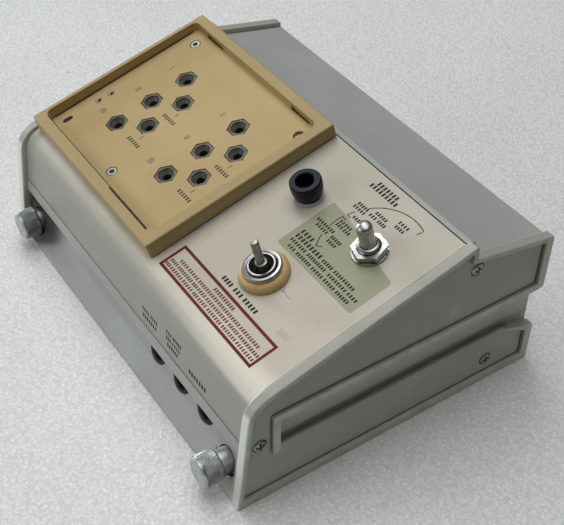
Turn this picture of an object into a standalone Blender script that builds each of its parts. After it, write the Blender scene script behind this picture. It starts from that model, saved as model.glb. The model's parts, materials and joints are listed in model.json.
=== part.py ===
"""Plug-in test fixture of a transistor curve tracer: a sloping console with a socket block, a lever switch, a
rotary selector, a lamp, three front jacks, two rail grooves and two thumbscrews.

Every length here is in millimetres, and place() turns it into metres. "Bench" coordinates are x to the right,
y back from the lower front edge, z up from the bench. "Panel" coordinates lie on the sloping control panel: x to
the right, s up the slope from the ridge (negative towards the front), h straight out of the panel.
"""

import math

import bmesh
import bpy
from mathutils import Matrix, Vector

MM = 0.001
GAP = 0.3  # clearance between two pieces that would otherwise touch
ROUND = 28  # sides of a turned piece
JACK_SIDES = 24  # sides of the many small sockets

# ---- driving dimensions of the case ----
HALF_WIDTH = 101.0
PLATE_INNER = 96.5  # inner face of a side plate
PLATE_FIELD = 99.5  # sunk outer face inside the rim
SHELL_HALF = PLATE_INNER - GAP  # half width of every sheet between the plates
FRONT_LEAN = 0.109  # how far the front edge leans back for each millimetre up
REAR_BOTTOM = 149.15
REAR_TOP = 150.4
RIDGE_Y = 108.7
RIDGE_Z = 83.8
RIDGE_STEP_Z = 77.2
REAR_TOP_Z = 69.3
SLOPE_ANGLE = math.radians(15.73)
SLOPE = math.tan(SLOPE_ANGLE)
SHEET = 1.5

# ---- rail groove in the outer face of each side plate ----
GROOVE_FRONT = 19.5
GROOVE_LOW = 26.0
GROOVE_HIGH = 41.5
LIP_FRONT = 16.3
LIP_TOP = 44.5
FLARE_START = 132.0
FLARE_END_Z = 20.6

# ---- control panel ----
PANEL_RIDGE = Vector((0.0, 109.11, 82.34))
PANEL_REAR = -2.6
STRIP_FRONT = -2.2
STRIP_REAR = 1.9
PANEL_INSET = 2.5  # front face behind the plates' leaning edge
SEAM_Z = 30.4

# ---- rear deck ----
DECK_SLOPE = 0.184
DECK_FRONT_Z = 74.13
DECK_REAR = 151.0

# ---- front sill ----
SILL_TOP = 29.9
SILL_LIP_Z = 24.1
SILL_LIP_Y = 4.95
SILL_FOOT = (0.45, 1.2)
SILL_SLOPE = 0.33  # how far the lower panel leans back for each millimetre up

# ---- socket block, in panel coordinates ----
BLOCK_X = (-95.5, 12.4)
BLOCK_S = (-97.6, -2.9)
BLOCK_TOP_FRONT = 8.25
BLOCK_TOP_REAR = 7.2
WELL_X = (-93.2, 7.0)
WELL_S = (-91.9, -8.0)
WELL_FLOOR = 3.1
JACK_PITCH = 19.05
SENSE_OFFSET = 12.7
SET_X = (-66.4, -21.4)
COLLECTOR_S = -31.4
SENSE_BACK = 9.5
JACK_FLATS = 8.8
JACK_TOP = WELL_FLOOR - 0.2
JACK_SEAT = 1.0  # floor of the hexagonal pocket that holds a socket's head
BORE = 2.1
BLOCK_SCREWS = ((-84.2, -15.4, 1.9), (2.85, -15.5, 0.6), (-41.1, -86.1, 1.8))  # x, s and height of the seat
SLOT_AT = (-86.6, -85.2)
SLOT_SIZE = (2.5, 5.3)

# ---- controls, in panel coordinates ----
TOGGLE_AT = (52.0, -67.4)
TOGGLE_PIVOT = 1.0
TOGGLE_REST = math.radians(3)  # the lever's slack lets it lean a little to the right
SELECTOR_AT = (72.3, -31.0)
LAMP_AT = (31.5, -31.1)

# ---- thumbscrews and front jacks, in bench coordinates ----
SCREW_X = 85.8
SCREW_Z = 13.0
HEAD_RADIUS = 6.9
HEAD_LENGTH = 8.9
HEAD_STOP = 4.6  # how far in the clearance round a thumbscrew's head goes
SCREW_FRONT = {"left": -5.7, "right": -8.4}
JACK_X = (28.8, 28.8 + JACK_PITCH, 28.8 + 2 * JACK_PITCH)
JACK_Z = 21.9
SIDE_SCREWS = {"front": (11.0, 31.0), "ridge": (110.7, 69.9), "rear": (124.7, 11.6)}

Y_MID = (DECK_REAR + SCREW_FRONT["right"]) / 2

BENCH = Matrix.Translation(Vector((0.0, -Y_MID, 0.0)))
PANEL = BENCH @ Matrix.Translation(PANEL_RIDGE) @ Matrix.Rotation(SLOPE_ANGLE, 4, "X")
TO_FRONT = Matrix.Rotation(math.radians(90), 4, "X")  # turns a lathe's axis to point at -Y

SIDES = {"left": -1, "right": 1}

FINISHES = {
    "case_enamel": ((0.42, 0.42, 0.38), 0.55, 0.0),
    "panel_enamel": ((0.52, 0.48, 0.41), 0.5, 0.0),
    "tan_plastic": ((0.46, 0.34, 0.15), 0.5, 0.0),
    "nickel": ((0.55, 0.54, 0.52), 0.28, 1.0),
    "steel": ((0.32, 0.32, 0.31), 0.4, 1.0),
    "black_plastic": ((0.012, 0.013, 0.022), 0.35, 0.0),
    "pale_plastic": ((0.5, 0.5, 0.46), 0.5, 0.0),
    "phenolic": ((0.1, 0.05, 0.025), 0.6, 0.0),
    "green_board": ((0.03, 0.14, 0.06), 0.45, 0.0),
}


# ---------------------------------------------------------------- outlines


def rectangle(x_range, y_range):
    (x0, x1), (y0, y1) = x_range, y_range
    return [(x0, y0), (x1, y0), (x1, y1), (x0, y1)]


def circle(radius, centre=(0.0, 0.0), steps=ROUND, start=0.0):
    points = []
    for index in range(steps):
        angle = start + 2 * math.pi * index / steps
        points.append((centre[0] + radius * math.cos(angle), centre[1] + radius * math.sin(angle)))
    return points


def hexagon(flats, centre=(0.0, 0.0)):
    """A hexagon with corners at +X and -X, sized across its flats."""
    return circle(flats / math.sqrt(3), centre, 6)


def rounded(points, radius, steps=6):
    """The closed outline with each corner turned into an arc; radius is one number or one for each corner."""
    count = len(points)
    radii = radius if isinstance(radius, (list, tuple)) else [radius] * count
    result = []
    for index in range(count):
        corner = Vector(points[index])
        before = Vector(points[index - 1]) - corner
        after = Vector(points[(index + 1) % count]) - corner
        if radii[index] == 0:
            result.append(tuple(corner))
            continue
        half = before.angle(after) / 2
        tangent = radii[index] / math.tan(half)
        centre = corner + (before.normalized() + after.normalized()).normalized() * (radii[index] / math.sin(half))
        first = corner + before.normalized() * tangent - centre
        last = corner + after.normalized() * tangent - centre
        sweep = first.angle_signed(last)
        for step in range(steps + 1):
            turn = -sweep * step / steps
            result.append(tuple(centre + Matrix.Rotation(turn, 2) @ first))
    return result


def bent(points, radii, steps=6):
    """The open path with arcs at its inner corners."""
    return rounded(points, [0] + list(radii) + [0], steps)


def sheet(path, thickness=SHEET):
    """The closed outline of a bent sheet whose outer face follows the path, with the metal on its left."""
    offset = []
    last = len(path) - 1
    for index, point in enumerate(path):
        here = Vector(point)
        ways = []
        if index > 0:
            ways.append((here - Vector(path[index - 1])).normalized())
        if index < last:
            ways.append((Vector(path[index + 1]) - here).normalized())
        normals = [Vector((-way.y, way.x)) for way in ways]
        if len(normals) == 1:
            offset.append(tuple(here + normals[0] * thickness))
            continue
        middle = (normals[0] + normals[1]).normalized()
        offset.append(tuple(here + middle * (thickness / middle.dot(normals[0]))))
    return list(path) + offset[::-1]


# ---------------------------------------------------------------- solids


def prism(outline, start, end, axis="Z"):
    """The outline pushed along an axis. The outline is in (y, z) for X, (x, z) for Y and (x, y) for Z."""
    order = {"X": (2, 0, 1), "Y": (0, 2, 1), "Z": (0, 1, 2)}[axis]
    mesh = bmesh.new()
    rings = []
    for level in (start, end):
        ring = []
        for u, v in outline:
            triple = (u, v, level)
            ring.append(mesh.verts.new([triple[i] for i in order]))
        rings.append(ring)
        mesh.faces.new(ring)
    count = len(outline)
    for index in range(count):
        following = (index + 1) % count
        mesh.faces.new((rings[0][index], rings[0][following], rings[1][following], rings[1][index]))
    bmesh.ops.recalc_face_normals(mesh, faces=mesh.faces)
    return mesh


def box(x_range, y_range, z_range):
    return prism(rectangle(x_range, y_range), z_range[0], z_range[1])


def lathe(profile, ring=False, steps=ROUND):
    """The (radius, height) profile turned about Z. A ring's profile is a closed loop off the axis."""
    mesh = bmesh.new()
    rows = []
    for radius, height in profile:
        if radius == 0:
            rows.append([mesh.verts.new((0.0, 0.0, height))] * steps)
        else:
            rows.append([mesh.verts.new((x, y, height)) for x, y in circle(radius, steps=steps)])
    pairs = list(zip(rows, rows[1:]))
    if ring:
        pairs.append((rows[-1], rows[0]))
    for low, high in pairs:
        for index in range(steps):
            following = (index + 1) % steps
            corners = []
            for vertex in (low[index], low[following], high[following], high[index]):
                if vertex not in corners:
                    corners.append(vertex)
            if len(corners) > 2:
                mesh.faces.new(corners)
    bmesh.ops.recalc_face_normals(mesh, faces=mesh.faces)
    return mesh


def dome(radius, base, rise, steps=6):
    """Profile points of a rounded end, from its rim up to the axis."""
    points = []
    for step in range(steps):
        angle = math.pi / 2 * step / steps
        points.append((radius * math.cos(angle), base + rise * math.sin(angle)))
    return points + [(0, base + rise)]


def ball(radius, centre, low, steps=7):
    """Profile points of a ball from the height low up to nearly its top."""
    start = math.asin((low - centre) / radius)
    points = []
    for step in range(steps + 1):
        angle = start + (math.radians(45) - start) * step / steps
        points.append((radius * math.cos(angle), centre + radius * math.sin(angle)))
    return points


# ---------------------------------------------------------------- objects


def place(name, mesh, frame, at=(0.0, 0.0, 0.0)):
    """An object whose mesh is given in the frame's own millimetres, with its origin at the point at."""
    bmesh.ops.translate(mesh, verts=mesh.verts, vec=-Vector(at))
    bmesh.ops.scale(mesh, verts=mesh.verts, vec=(MM, MM, MM))
    data = bpy.data.meshes.new(name)
    mesh.to_mesh(data)
    mesh.free()
    obj = bpy.data.objects.new(name, data)
    bpy.context.scene.collection.objects.link(obj)
    here = frame @ Matrix.Translation(Vector(at))
    here.translation = here.translation * MM
    obj.matrix_world = here
    return obj


def apply_modifiers(obj):
    bpy.context.view_layer.update()
    graph = bpy.context.evaluated_depsgraph_get()
    data = bpy.data.meshes.new_from_object(obj.evaluated_get(graph))
    obj.modifiers.clear()
    old = obj.data
    obj.data = data
    bpy.data.meshes.remove(old)


def combine(obj, operation, meshes, frame):
    """Joins the meshes to the object, or cuts them from it, one after another."""
    for mesh in meshes:
        tool = place("tool", mesh, frame)
        modifier = obj.modifiers.new(operation, "BOOLEAN")
        modifier.operation = operation
        modifier.solver = "EXACT"
        modifier.object = tool
        apply_modifiers(obj)
        bpy.data.objects.remove(tool, do_unlink=True)


def cut(obj, meshes, frame):
    combine(obj, "DIFFERENCE", meshes, frame)


def join(obj, meshes, frame):
    combine(obj, "UNION", meshes, frame)


def bevel(obj, width, segments=2, angle=35.0):
    modifier = obj.modifiers.new("bevel", "BEVEL")
    modifier.width = width * MM
    modifier.segments = segments
    modifier.limit_method = "ANGLE"
    modifier.angle_limit = math.radians(angle)
    apply_modifiers(obj)


def finish(obj, key, smooth=False):
    """Gives the object its own material and, on a round piece, smooth shading with sharp edges kept."""
    colour, roughness, metallic = FINISHES[key]
    material = bpy.data.materials.new(obj.name)
    material.use_nodes = True
    shader = material.node_tree.nodes["Principled BSDF"]
    shader.inputs["Base Color"].default_value = (*colour, 1.0)
    shader.inputs["Roughness"].default_value = roughness
    shader.inputs["Metallic"].default_value = metallic
    obj.data.materials.clear()
    obj.data.materials.append(material)
    if smooth:
        obj.data.shade_smooth()
        obj.data.set_sharp_from_angle(angle=math.radians(32))
    return obj


def mirrored(mesh, sign):
    """The mesh itself for the right side, or its mirror image for the left side."""
    if sign < 0:
        bmesh.ops.scale(mesh, verts=mesh.verts, vec=(-1, 1, 1))
        bmesh.ops.reverse_faces(mesh, faces=mesh.faces)
    return mesh


def moved(mesh, offset):
    bmesh.ops.translate(mesh, verts=mesh.verts, vec=Vector(offset))
    return mesh


def phillips(centre, depth, span=2.9, arm=0.75):
    """Two crossed bars that cut a driver recess down into a screw head along Z."""
    x, y, top = centre
    bars = []
    for turned in (False, True):
        wide, tall = (arm, span) if turned else (span, arm)
        bars.append(box((x - wide / 2, x + wide / 2), (y - tall / 2, y + tall / 2), (top - depth, top + 1)))
    return bars


# ---------------------------------------------------------------- side plates


def plate_outline():
    """The plate's side view: leaning front, rounded shoulder, slope, ridge step, rear slope, notched rear edge."""
    shoulder_z = (RIDGE_Z - RIDGE_Y * SLOPE) / (1 - FRONT_LEAN * SLOPE)
    corners = [
        (0.0, 0.0),
        (REAR_BOTTOM, 0.0),
        (REAR_BOTTOM, FLARE_END_Z),
        (REAR_BOTTOM - 1.6, FLARE_END_Z),
        (REAR_TOP - 1.6, GROOVE_HIGH),
        (REAR_TOP, GROOVE_HIGH),
        (REAR_TOP, REAR_TOP_Z),
        (RIDGE_Y, RIDGE_STEP_Z),
        (RIDGE_Y, RIDGE_Z),
        (FRONT_LEAN * shoulder_z, shoulder_z),
    ]
    return rounded(corners, [0, 0.8, 0.8, 0, 0, 0.8, 1.2, 1.0, 1.2, 13.0], 8)


def field_outline():
    """The sunk area inside the rim: all of the plate's outer face except the rims and the lip round the groove."""
    rim, foot = 2.2, 4.0
    slope_drop = 2.4
    slope_base = RIDGE_Z - RIDGE_Y * SLOPE - slope_drop
    shoulder_z = (slope_base + rim * SLOPE) / (1 - FRONT_LEAN * SLOPE)
    ridge = RIDGE_Y - rim
    corners = [
        (rim + FRONT_LEAN * foot, foot),
        (REAR_BOTTOM - foot, foot),
        (REAR_BOTTOM - foot, FLARE_END_Z - 1.9),
        (FLARE_START + 3.5, GROOVE_LOW - 2.2),
        (FLARE_START, GROOVE_LOW),
        (GROOVE_FRONT, GROOVE_LOW),
        (GROOVE_FRONT, GROOVE_LOW - 2.5),
        (LIP_FRONT, GROOVE_LOW - 2.5),
        (LIP_FRONT, LIP_TOP),
        (REAR_TOP - foot, LIP_TOP),
        (REAR_TOP - foot, REAR_TOP_Z - 1.6),
        (RIDGE_Y, RIDGE_STEP_Z - 2.2),
        (ridge, RIDGE_STEP_Z - 2.0),
        (ridge, slope_base + ridge * SLOPE),
        (rim + FRONT_LEAN * shoulder_z, shoulder_z),
    ]
    return rounded(corners, [0.6, 0.6, 0.6, 0, 0, 0, 0, 0, 1.0, 0.6, 0.8, 0, 0, 0.8, 10.8], 6)


def groove_outline():
    beyond = REAR_TOP + 5
    return [
        (GROOVE_FRONT, GROOVE_LOW),
        (FLARE_START, GROOVE_LOW),
        (REAR_BOTTOM - 1.6, FLARE_END_Z),
        (beyond, FLARE_END_Z),
        (beyond, GROOVE_HIGH),
        (GROOVE_FRONT, GROOVE_HIGH),
    ]


def side_plate(side, sign):
    """Die-cast side plate: raised rim, sunk field, open-ended rail groove with its wall bulging inwards."""
    obj = place("side_plate_" + side, mirrored(prism(plate_outline(), PLATE_INNER, HALF_WIDTH, "X"), sign), BENCH)
    bevel(obj, 0.5, 2, 50)
    rear = REAR_TOP - 2.4
    wall = [(13.0, 23.0), (126.0, 23.0), (FLARE_START, 18.0), (rear, 18.0), (rear, 48.0), (13.0, 48.0)]
    bulge = prism(wall, PLATE_INNER - 2.5, PLATE_INNER + 1, "X")
    join(obj, [mirrored(bulge, sign)], BENCH)
    cuts = [
        prism(field_outline(), PLATE_FIELD, HALF_WIDTH + 2, "X"),
        prism(groove_outline(), PLATE_INNER, HALF_WIDTH + 2, "X"),
    ]
    for y, z in SIDE_SCREWS.values():
        cuts.append(prism(circle(3.2, (y, z), 28), PLATE_FIELD - 1.0, HALF_WIDTH + 2, "X"))
        cuts.append(prism(circle(1.8, (y, z), 20), PLATE_INNER - 1, HALF_WIDTH, "X"))
    cut(obj, [mirrored(mesh, sign) for mesh in cuts], BENCH)
    return finish(obj, "case_enamel")


def side_screw(side, sign, where):
    """Cross-recessed pan-head screw sitting in a shallow counterbore of the plate."""
    y, z = SIDE_SCREWS[where]
    seat = PLATE_FIELD - 1.0 + GAP
    frame = BENCH @ Matrix.Translation(Vector((sign * seat, y, z))) @ Matrix.Rotation(sign * math.pi / 2, 4, "Y")
    head = [(0, -1.9), (1.4, -1.9), (1.4, 0), (2.8, 0), (2.8, 0.7), (2.3, 1.25), (0, 1.6)]
    obj = place("side_screw_%s_%s" % (where, side), lathe(head, steps=22), frame)
    cut(obj, phillips((0, 0, 1.6), 1.0), frame)
    return finish(obj, "steel", smooth=True)


# ---------------------------------------------------------------- sheet-metal shell


def panel_point(s, h=0.0):
    """The bench (y, z) of a point on the sloping panel."""
    cosine, sine = math.cos(SLOPE_ANGLE), math.sin(SLOPE_ANGLE)
    return (PANEL_RIDGE.y + s * cosine - h * sine, PANEL_RIDGE.z + s * sine + h * cosine)


def stadium(size, centre):
    """An upright slot outline with round ends, size (width, length)."""
    width, length = size
    x, y = centre
    corners = rectangle((x - width / 2, x + width / 2), (y - length / 2, y + length / 2))
    return rounded(corners, width / 2 - 0.01, 6)


def top_panel():
    """Control panel and front face in one bent sheet, with holes for the controls and an opening below the block."""
    base = PANEL_RIDGE.z - PANEL_RIDGE.y * SLOPE
    bend_z = (base + PANEL_INSET * SLOPE) / (1 - FRONT_LEAN * SLOPE)
    path = bent(
        [
            panel_point(PANEL_REAR),
            (PANEL_INSET + FRONT_LEAN * bend_z, bend_z),
            (PANEL_INSET + FRONT_LEAN * SEAM_Z, SEAM_Z),
        ],
        [11.0],
        10,
    )
    obj = place("top_panel", prism(sheet(path), -SHELL_HALF, SHELL_HALF, "X"), BENCH)
    holes = [prism(rounded(rectangle((-75.0, 0.0), (-78.0, -23.0)), 3.0), -6, 6)]
    for centre, radius in ((TOGGLE_AT, 6.2), (SELECTOR_AT, 5.05), (LAMP_AT, 4.3)):
        holes.append(prism(circle(radius, centre), -6, 6))
    for x, s, _ in BLOCK_SCREWS:
        holes.append(prism(circle(1.7, (x, s), 20), -6, 6))
    holes.append(prism(stadium((3.3, 6.1), SLOT_AT), -6, 6))
    cut(obj, holes, PANEL)
    return finish(obj, "panel_enamel", smooth=True)


def rear_deck():
    """Rear cover sheet: narrow ridge strip, step down, sloping deck and a short rear flange."""
    ridge_y, ridge_z = panel_point(STRIP_REAR)
    deck_rear_z = DECK_FRONT_Z - (DECK_REAR - ridge_y) * DECK_SLOPE
    path = bent(
        [
            (DECK_REAR, 58.0),
            (DECK_REAR, deck_rear_z),
            (ridge_y, DECK_FRONT_Z),
            (ridge_y, ridge_z),
            panel_point(STRIP_FRONT),
        ],
        [1.8, 0.8, 2.0],
        5,
    )
    obj = place("rear_deck", prism(sheet(path), -SHELL_HALF, SHELL_HALF, "X"), BENCH)
    return finish(obj, "case_enamel", smooth=True)


def sill_point(z):
    """The y of the sloping lower panel's surface at height z."""
    return SILL_FOOT[0] + (z - SILL_FOOT[1]) * SILL_SLOPE


def front_jack_frame(x):
    """A frame on the sloping lower panel with Z pointing straight out of it."""
    lean = math.atan(SILL_SLOPE)
    at = Matrix.Translation(Vector((x, sill_point(JACK_Z), JACK_Z)))
    return BENCH @ at @ Matrix.Rotation(math.pi / 2 - lean, 4, "X")


def front_sill():
    """Section under the front seam: top flange, hanging lip, sloping lower panel behind it with five openings."""
    lip_rise = SILL_TOP - SILL_LIP_Z
    ceiling = SILL_TOP - SHEET
    floor = SILL_FOOT[1] + SHEET
    wall = SHEET / math.cos(math.atan(SILL_SLOPE))
    outline = [
        (12.6, SILL_TOP),
        (SILL_LIP_Y + FRONT_LEAN * lip_rise, SILL_TOP),
        (SILL_LIP_Y, SILL_LIP_Z),
        (SILL_LIP_Y + SHEET, SILL_LIP_Z),
        (SILL_LIP_Y + SHEET + FRONT_LEAN * (ceiling - SILL_LIP_Z), ceiling),
        (sill_point(ceiling), ceiling),
        SILL_FOOT,
        (9.0, SILL_FOOT[1]),
        (9.0, floor),
        (sill_point(floor) + wall, floor),
        (sill_point(ceiling) + wall, ceiling),
        (12.6, ceiling),
    ]
    obj = place("front_sill", prism(outline, -SHELL_HALF, SHELL_HALF, "X"), BENCH)
    for x in JACK_X:
        cut(obj, [prism(circle(6.5), -4, 1)], front_jack_frame(x))
    openings = []
    for sign in SIDES.values():
        at = (sign * SCREW_X, SCREW_Z)
        openings.append(prism(circle(5.85, at), -5, 12, "Y"))
        openings.append(prism(circle(7.3, at), -5, HEAD_STOP, "Y"))
    cut(obj, openings, BENCH)
    return finish(obj, "case_enamel")


def rear_panel():
    """Upright rear sheet, narrowed where the groove walls bulge in, with an opening for the connector."""
    wide, narrow = SHELL_HALF, PLATE_INNER - 2.5 - GAP
    right = [(wide, 4.5), (wide, 17.7), (narrow, 17.7), (narrow, 48.3), (wide, 48.3), (wide, 64.6)]
    left = [(-x, z) for x, z in reversed(right)]
    obj = place("rear_panel", prism(right + left, 147.7, 149.2, "Y"), BENCH)
    cut(obj, [box((-32.0, 32.0), (140, 155), (12.0, 24.0))], BENCH)
    return finish(obj, "case_enamel")


def bottom_cover():
    """Flat bottom sheet with two upturned side flanges."""
    obj = place("bottom_cover", box((-SHELL_HALF, SHELL_HALF), (4.0, 147.4), (3.0, 4.2)), BENCH)
    flanges = []
    for sign in SIDES.values():
        flanges.append(mirrored(box((SHELL_HALF - 1.2, SHELL_HALF), (24.0, 122.0), (3.6, 20.0)), sign))
    join(obj, flanges, BENCH)
    return finish(obj, "case_enamel")


def rear_connector():
    """Rear-facing multi-way connector shell with an inner flange and an open cavity."""
    obj = place("rear_connector", box((-31.7, 31.7), (136.0, DECK_REAR), (12.3, 23.7)), BENCH)
    join(obj, [box((-36.0, 36.0), (145.9, 147.4), (9.0, 27.0))], BENCH)
    cut(obj, [box((-30.0, 30.0), (142.5, 156.0), (14.0, 22.0))], BENCH)
    return finish(obj, "phenolic")


def interface_board():
    obj = place("interface_board", box((-45.0, 45.0), (134.1, 135.7), (6.0, 40.0)), BENCH)
    return finish(obj, "green_board")


# ---------------------------------------------------------------- socket block


def jack_centres():
    """Name and panel (x, s) of each socket: per set one collector, two bases and two emitters, two of them sense."""
    centres = []
    for number, x in enumerate(SET_X, start=1):
        base_s = COLLECTOR_S - JACK_PITCH
        emitter_s = base_s - JACK_PITCH
        centres.append(("%d_collector" % number, x, COLLECTOR_S))
        centres.append(("%d_collector_sense" % number, x + SENSE_OFFSET, COLLECTOR_S - SENSE_BACK))
        centres.append(("%d_base" % number, x, base_s))
        centres.append(("%d_emitter_sense" % number, x + SENSE_OFFSET, base_s - SENSE_BACK))
        centres.append(("%d_emitter" % number, x, emitter_s))
    return centres


def socket_block():
    """Tan moulded block: slightly wedged top, rounded well, socket holes, screw holes, key slot and two slits."""
    side_view = [
        (BLOCK_S[0], GAP),
        (BLOCK_S[1], GAP),
        (BLOCK_S[1], BLOCK_TOP_REAR),
        (BLOCK_S[0], BLOCK_TOP_FRONT),
    ]
    obj = place("socket_block", prism(side_view, BLOCK_X[0], BLOCK_X[1], "X"), PANEL)
    bevel(obj, 0.7, 3)
    cut(obj, [prism(rounded(rectangle(WELL_X, WELL_S), 3.0, 8), WELL_FLOOR, 12)], PANEL)
    cuts = []
    for _, x, s in jack_centres():
        cuts.append(prism(circle(4.0, (x, s), JACK_SIDES), -2, 6))
        cuts.append(prism(hexagon(JACK_FLATS + 0.7, (x, s)), JACK_SEAT, 6))
    for x, s, seat in BLOCK_SCREWS:
        cuts.append(prism(circle(1.7, (x, s), 20), -2, 6))
        cuts.append(prism(circle(2.7, (x, s), 24), seat, 6))
    cuts.append(prism(stadium(SLOT_SIZE, SLOT_AT), -2, 6))
    for x0, x1 in ((-83.6, -70.2), (-13.3, 0.5)):
        cuts.append(box((x0, x1), (WELL_S[1] - 0.6, WELL_S[1] + 0.6), (1.3, 5.3)))
    for x, s in ((-86.0, -61.7), (-86.4, -68.2)):
        cuts.append(prism(circle(0.9, (x, s), 16), 1.5, 6))
    cut(obj, cuts, PANEL)
    return finish(obj, "tan_plastic", smooth=True)


def socket_jack(name, x, s):
    """Hexagonal-headed banana socket with a coned mouth, sunk flush in the block's well."""
    at = (x, s, 0.0)
    bottom = JACK_SEAT + GAP
    obj = place("socket_jack_" + name, moved(prism(hexagon(JACK_FLATS), bottom, JACK_TOP), (x, s, 0)), PANEL, at)
    shank = lathe([(0, -15.0), (3.6, -15.0), (3.6, bottom + 1), (0, bottom + 1)], steps=JACK_SIDES)
    join(obj, [moved(shank, at)], PANEL)
    mouth = [(0, -12.0), (BORE, -12.0), (BORE, JACK_TOP - 1.8), (3.6, JACK_TOP - 0.5), (3.6, JACK_TOP + 1)]
    cut(obj, [moved(lathe(mouth + [(0, JACK_TOP + 1)], steps=JACK_SIDES), at)], PANEL)
    return finish(obj, "steel", smooth=True)


def block_screw(number, x, s, seat):
    """Small flat-headed screw with a hexagonal recess, sunk in the block."""
    low = seat + GAP
    top = low + 0.9
    profile = [(0, -6.0), (1.3, -6.0), (1.3, low), (2.4, low), (2.4, top - 0.15), (2.25, top), (0, top)]
    at = (x, s, 0.0)
    obj = place("block_screw_%d" % number, moved(lathe(profile, steps=20), at), PANEL, at)
    cut(obj, [prism(hexagon(2.3, at[:2]), top - 0.6, top + 1)], PANEL)
    return finish(obj, "steel", smooth=True)


def interlock_plunger():
    """Key that an adapter presses through the block's slot, with a stop collar below the panel."""
    x, s = SLOT_AT
    at = (x, s, 0.0)
    obj = place("interlock_plunger", prism(stadium((1.9, 4.7), SLOT_AT), -8.0, WELL_FLOOR - 0.4), PANEL, at)
    join(obj, [prism(stadium((4.4, 7.0), SLOT_AT), -3.6, -2.1)], PANEL)
    return finish(obj, "pale_plastic")


def interlock_switch():
    x, s = SLOT_AT
    obj = place("interlock_switch", box((x - 5.0, x + 7.0), (s - 4.0, s + 4.0), (-24.0, -10.6)), PANEL)
    return finish(obj, "black_plastic")


# ---------------------------------------------------------------- lever switch


def toggle_spacer_ring():
    """Tan bulged ring under the round nut."""
    profile = [(6.3, GAP), (10.4, GAP), (10.45, 1.4), (10.25, 2.4), (9.7, 3.3), (8.9, 3.9), (8.3, 4.0), (6.3, 4.0)]
    at = (*TOGGLE_AT, 0.0)
    obj = place("toggle_spacer_ring", moved(lathe(profile, ring=True, steps=40), at), PANEL, at)
    return finish(obj, "tan_plastic", smooth=True)


def toggle_nut():
    """Round dress nut."""
    profile = [(6.3, 4.3), (8.15, 4.3), (8.15, 5.3), (7.7, 5.85), (6.9, 6.0), (6.3, 5.7)]
    at = (*TOGGLE_AT, 0.0)
    obj = place("toggle_nut", moved(lathe(profile, ring=True, steps=40), at), PANEL, at)
    return finish(obj, "nickel", smooth=True)


def toggle_bushing():
    """Threaded bushing with its mounting plate below the panel and a wide mouth for the lever."""
    x, s = TOGGLE_AT
    at = (x, s, 0.0)
    obj = place("toggle_bushing", box((x - 14.0, x + 14.0), (s - 7.5, s + 7.5), (-3.4, -2.0)), PANEL, at)
    barrel = [(0, -3.0), (5.9, -3.0), (5.9, 6.1), (5.6, 6.4), (0, 6.4)]
    join(obj, [moved(lathe(barrel), at)], PANEL)
    mouth = [(0, -6), (4.3, -6), (4.3, 3.2), (5.1, 5.2), (5.1, 8), (0, 8)]
    cut(obj, [moved(lathe(mouth), at)], PANEL)
    return finish(obj, "nickel", smooth=True)


def toggle_body():
    """Moulded switch body with three terminals."""
    x, s = TOGGLE_AT
    at = (x, s, 0.0)
    obj = place("toggle_body", box((x - 14.0, x + 14.0), (s - 7.5, s + 7.5), (-22.0, -3.7)), PANEL, at)
    blades = [box((x + dx - 2.2, x + dx + 2.2), (s - 0.5, s + 0.5), (-29.0, -21.0)) for dx in (-9.0, 0.0, 9.0)]
    join(obj, blades, PANEL)
    return finish(obj, "phenolic")


def toggle_lever():
    """Straight lever on a pivot ball, with a small collar above the bushing and a chamfered tip."""
    foot = [(0, -3.2), (2.4, -3.2)] + ball(3.5, 0.0, -2.2)
    collar = [(2.1, 3.4), (2.1, 6.6), (2.4, 6.8), (2.4, 7.2), (1.75, 7.4)]
    rod = [(1.7, 8.0), (1.7, 19.4), (1.3, 19.9), (0, 20.0)]
    frame = PANEL @ Matrix.Translation(Vector((*TOGGLE_AT, TOGGLE_PIVOT))) @ Matrix.Rotation(TOGGLE_REST, 4, "Y")
    obj = place("toggle_lever", lathe(foot + collar + rod, steps=32), frame)
    return finish(obj, "nickel", smooth=True)


# ---------------------------------------------------------------- rotary selector


def selector_lock_washer():
    """Thin washer with three locking notches in its rim."""
    x, s = SELECTOR_AT
    at = (x, s, 0.0)
    profile = [(5.1, GAP), (7.5, GAP), (7.5, 1.0), (5.1, 1.0)]
    obj = place("selector_lock_washer", moved(lathe(profile, ring=True), at), PANEL, at)
    notches = []
    for angle in (26, 42, 58):
        notch = box((6.9, 8.2), (-0.4, 0.4), (-1.0, 2.0))
        bmesh.ops.rotate(notch, verts=notch.verts, matrix=Matrix.Rotation(math.radians(angle), 3, "Z"))
        notches.append(moved(notch, at))
    cut(obj, notches, PANEL)
    return finish(obj, "nickel", smooth=True)


def selector_nut():
    x, s = SELECTOR_AT
    at = (x, s, 0.0)
    corners = circle(12.7 / math.sqrt(3), SELECTOR_AT, 6, math.radians(-15))
    obj = place("selector_nut", prism(corners, 1.3, 3.6), PANEL, at)
    crown = [(0, 1.0), (8.2, 1.0), (8.2, 3.0), (6.5, 3.9), (0, 3.9)]
    combine(obj, "INTERSECT", [moved(lathe(crown), at)], PANEL)
    cut(obj, [moved(lathe([(0, 0), (5.1, 0), (5.1, 6), (0, 6)]), at)], PANEL)
    return finish(obj, "nickel", smooth=True)


def selector_body():
    """Rotary switch frame: threaded bushing, detent housing and two studs that carry the wafers."""
    x, s = SELECTOR_AT
    at = (x, s, 0.0)
    profile = [(0, -9.5), (15.0, -9.5), (15.0, -2.3), (4.75, -2.3), (4.75, 3.9), (4.4, 4.2), (0, 4.2)]
    obj = place("selector_body", moved(lathe(profile), at), PANEL, at)
    studs = [moved(lathe([(0, -27), (1.2, -27), (1.2, -9), (0, -9)], steps=16), (x + dx, s, 0)) for dx in (-12, 12)]
    join(obj, studs, PANEL)
    cut(obj, [moved(lathe([(0, -12), (3.5, -12), (3.5, 6), (0, 6)]), at)], PANEL)
    return finish(obj, "nickel", smooth=True)


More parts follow.
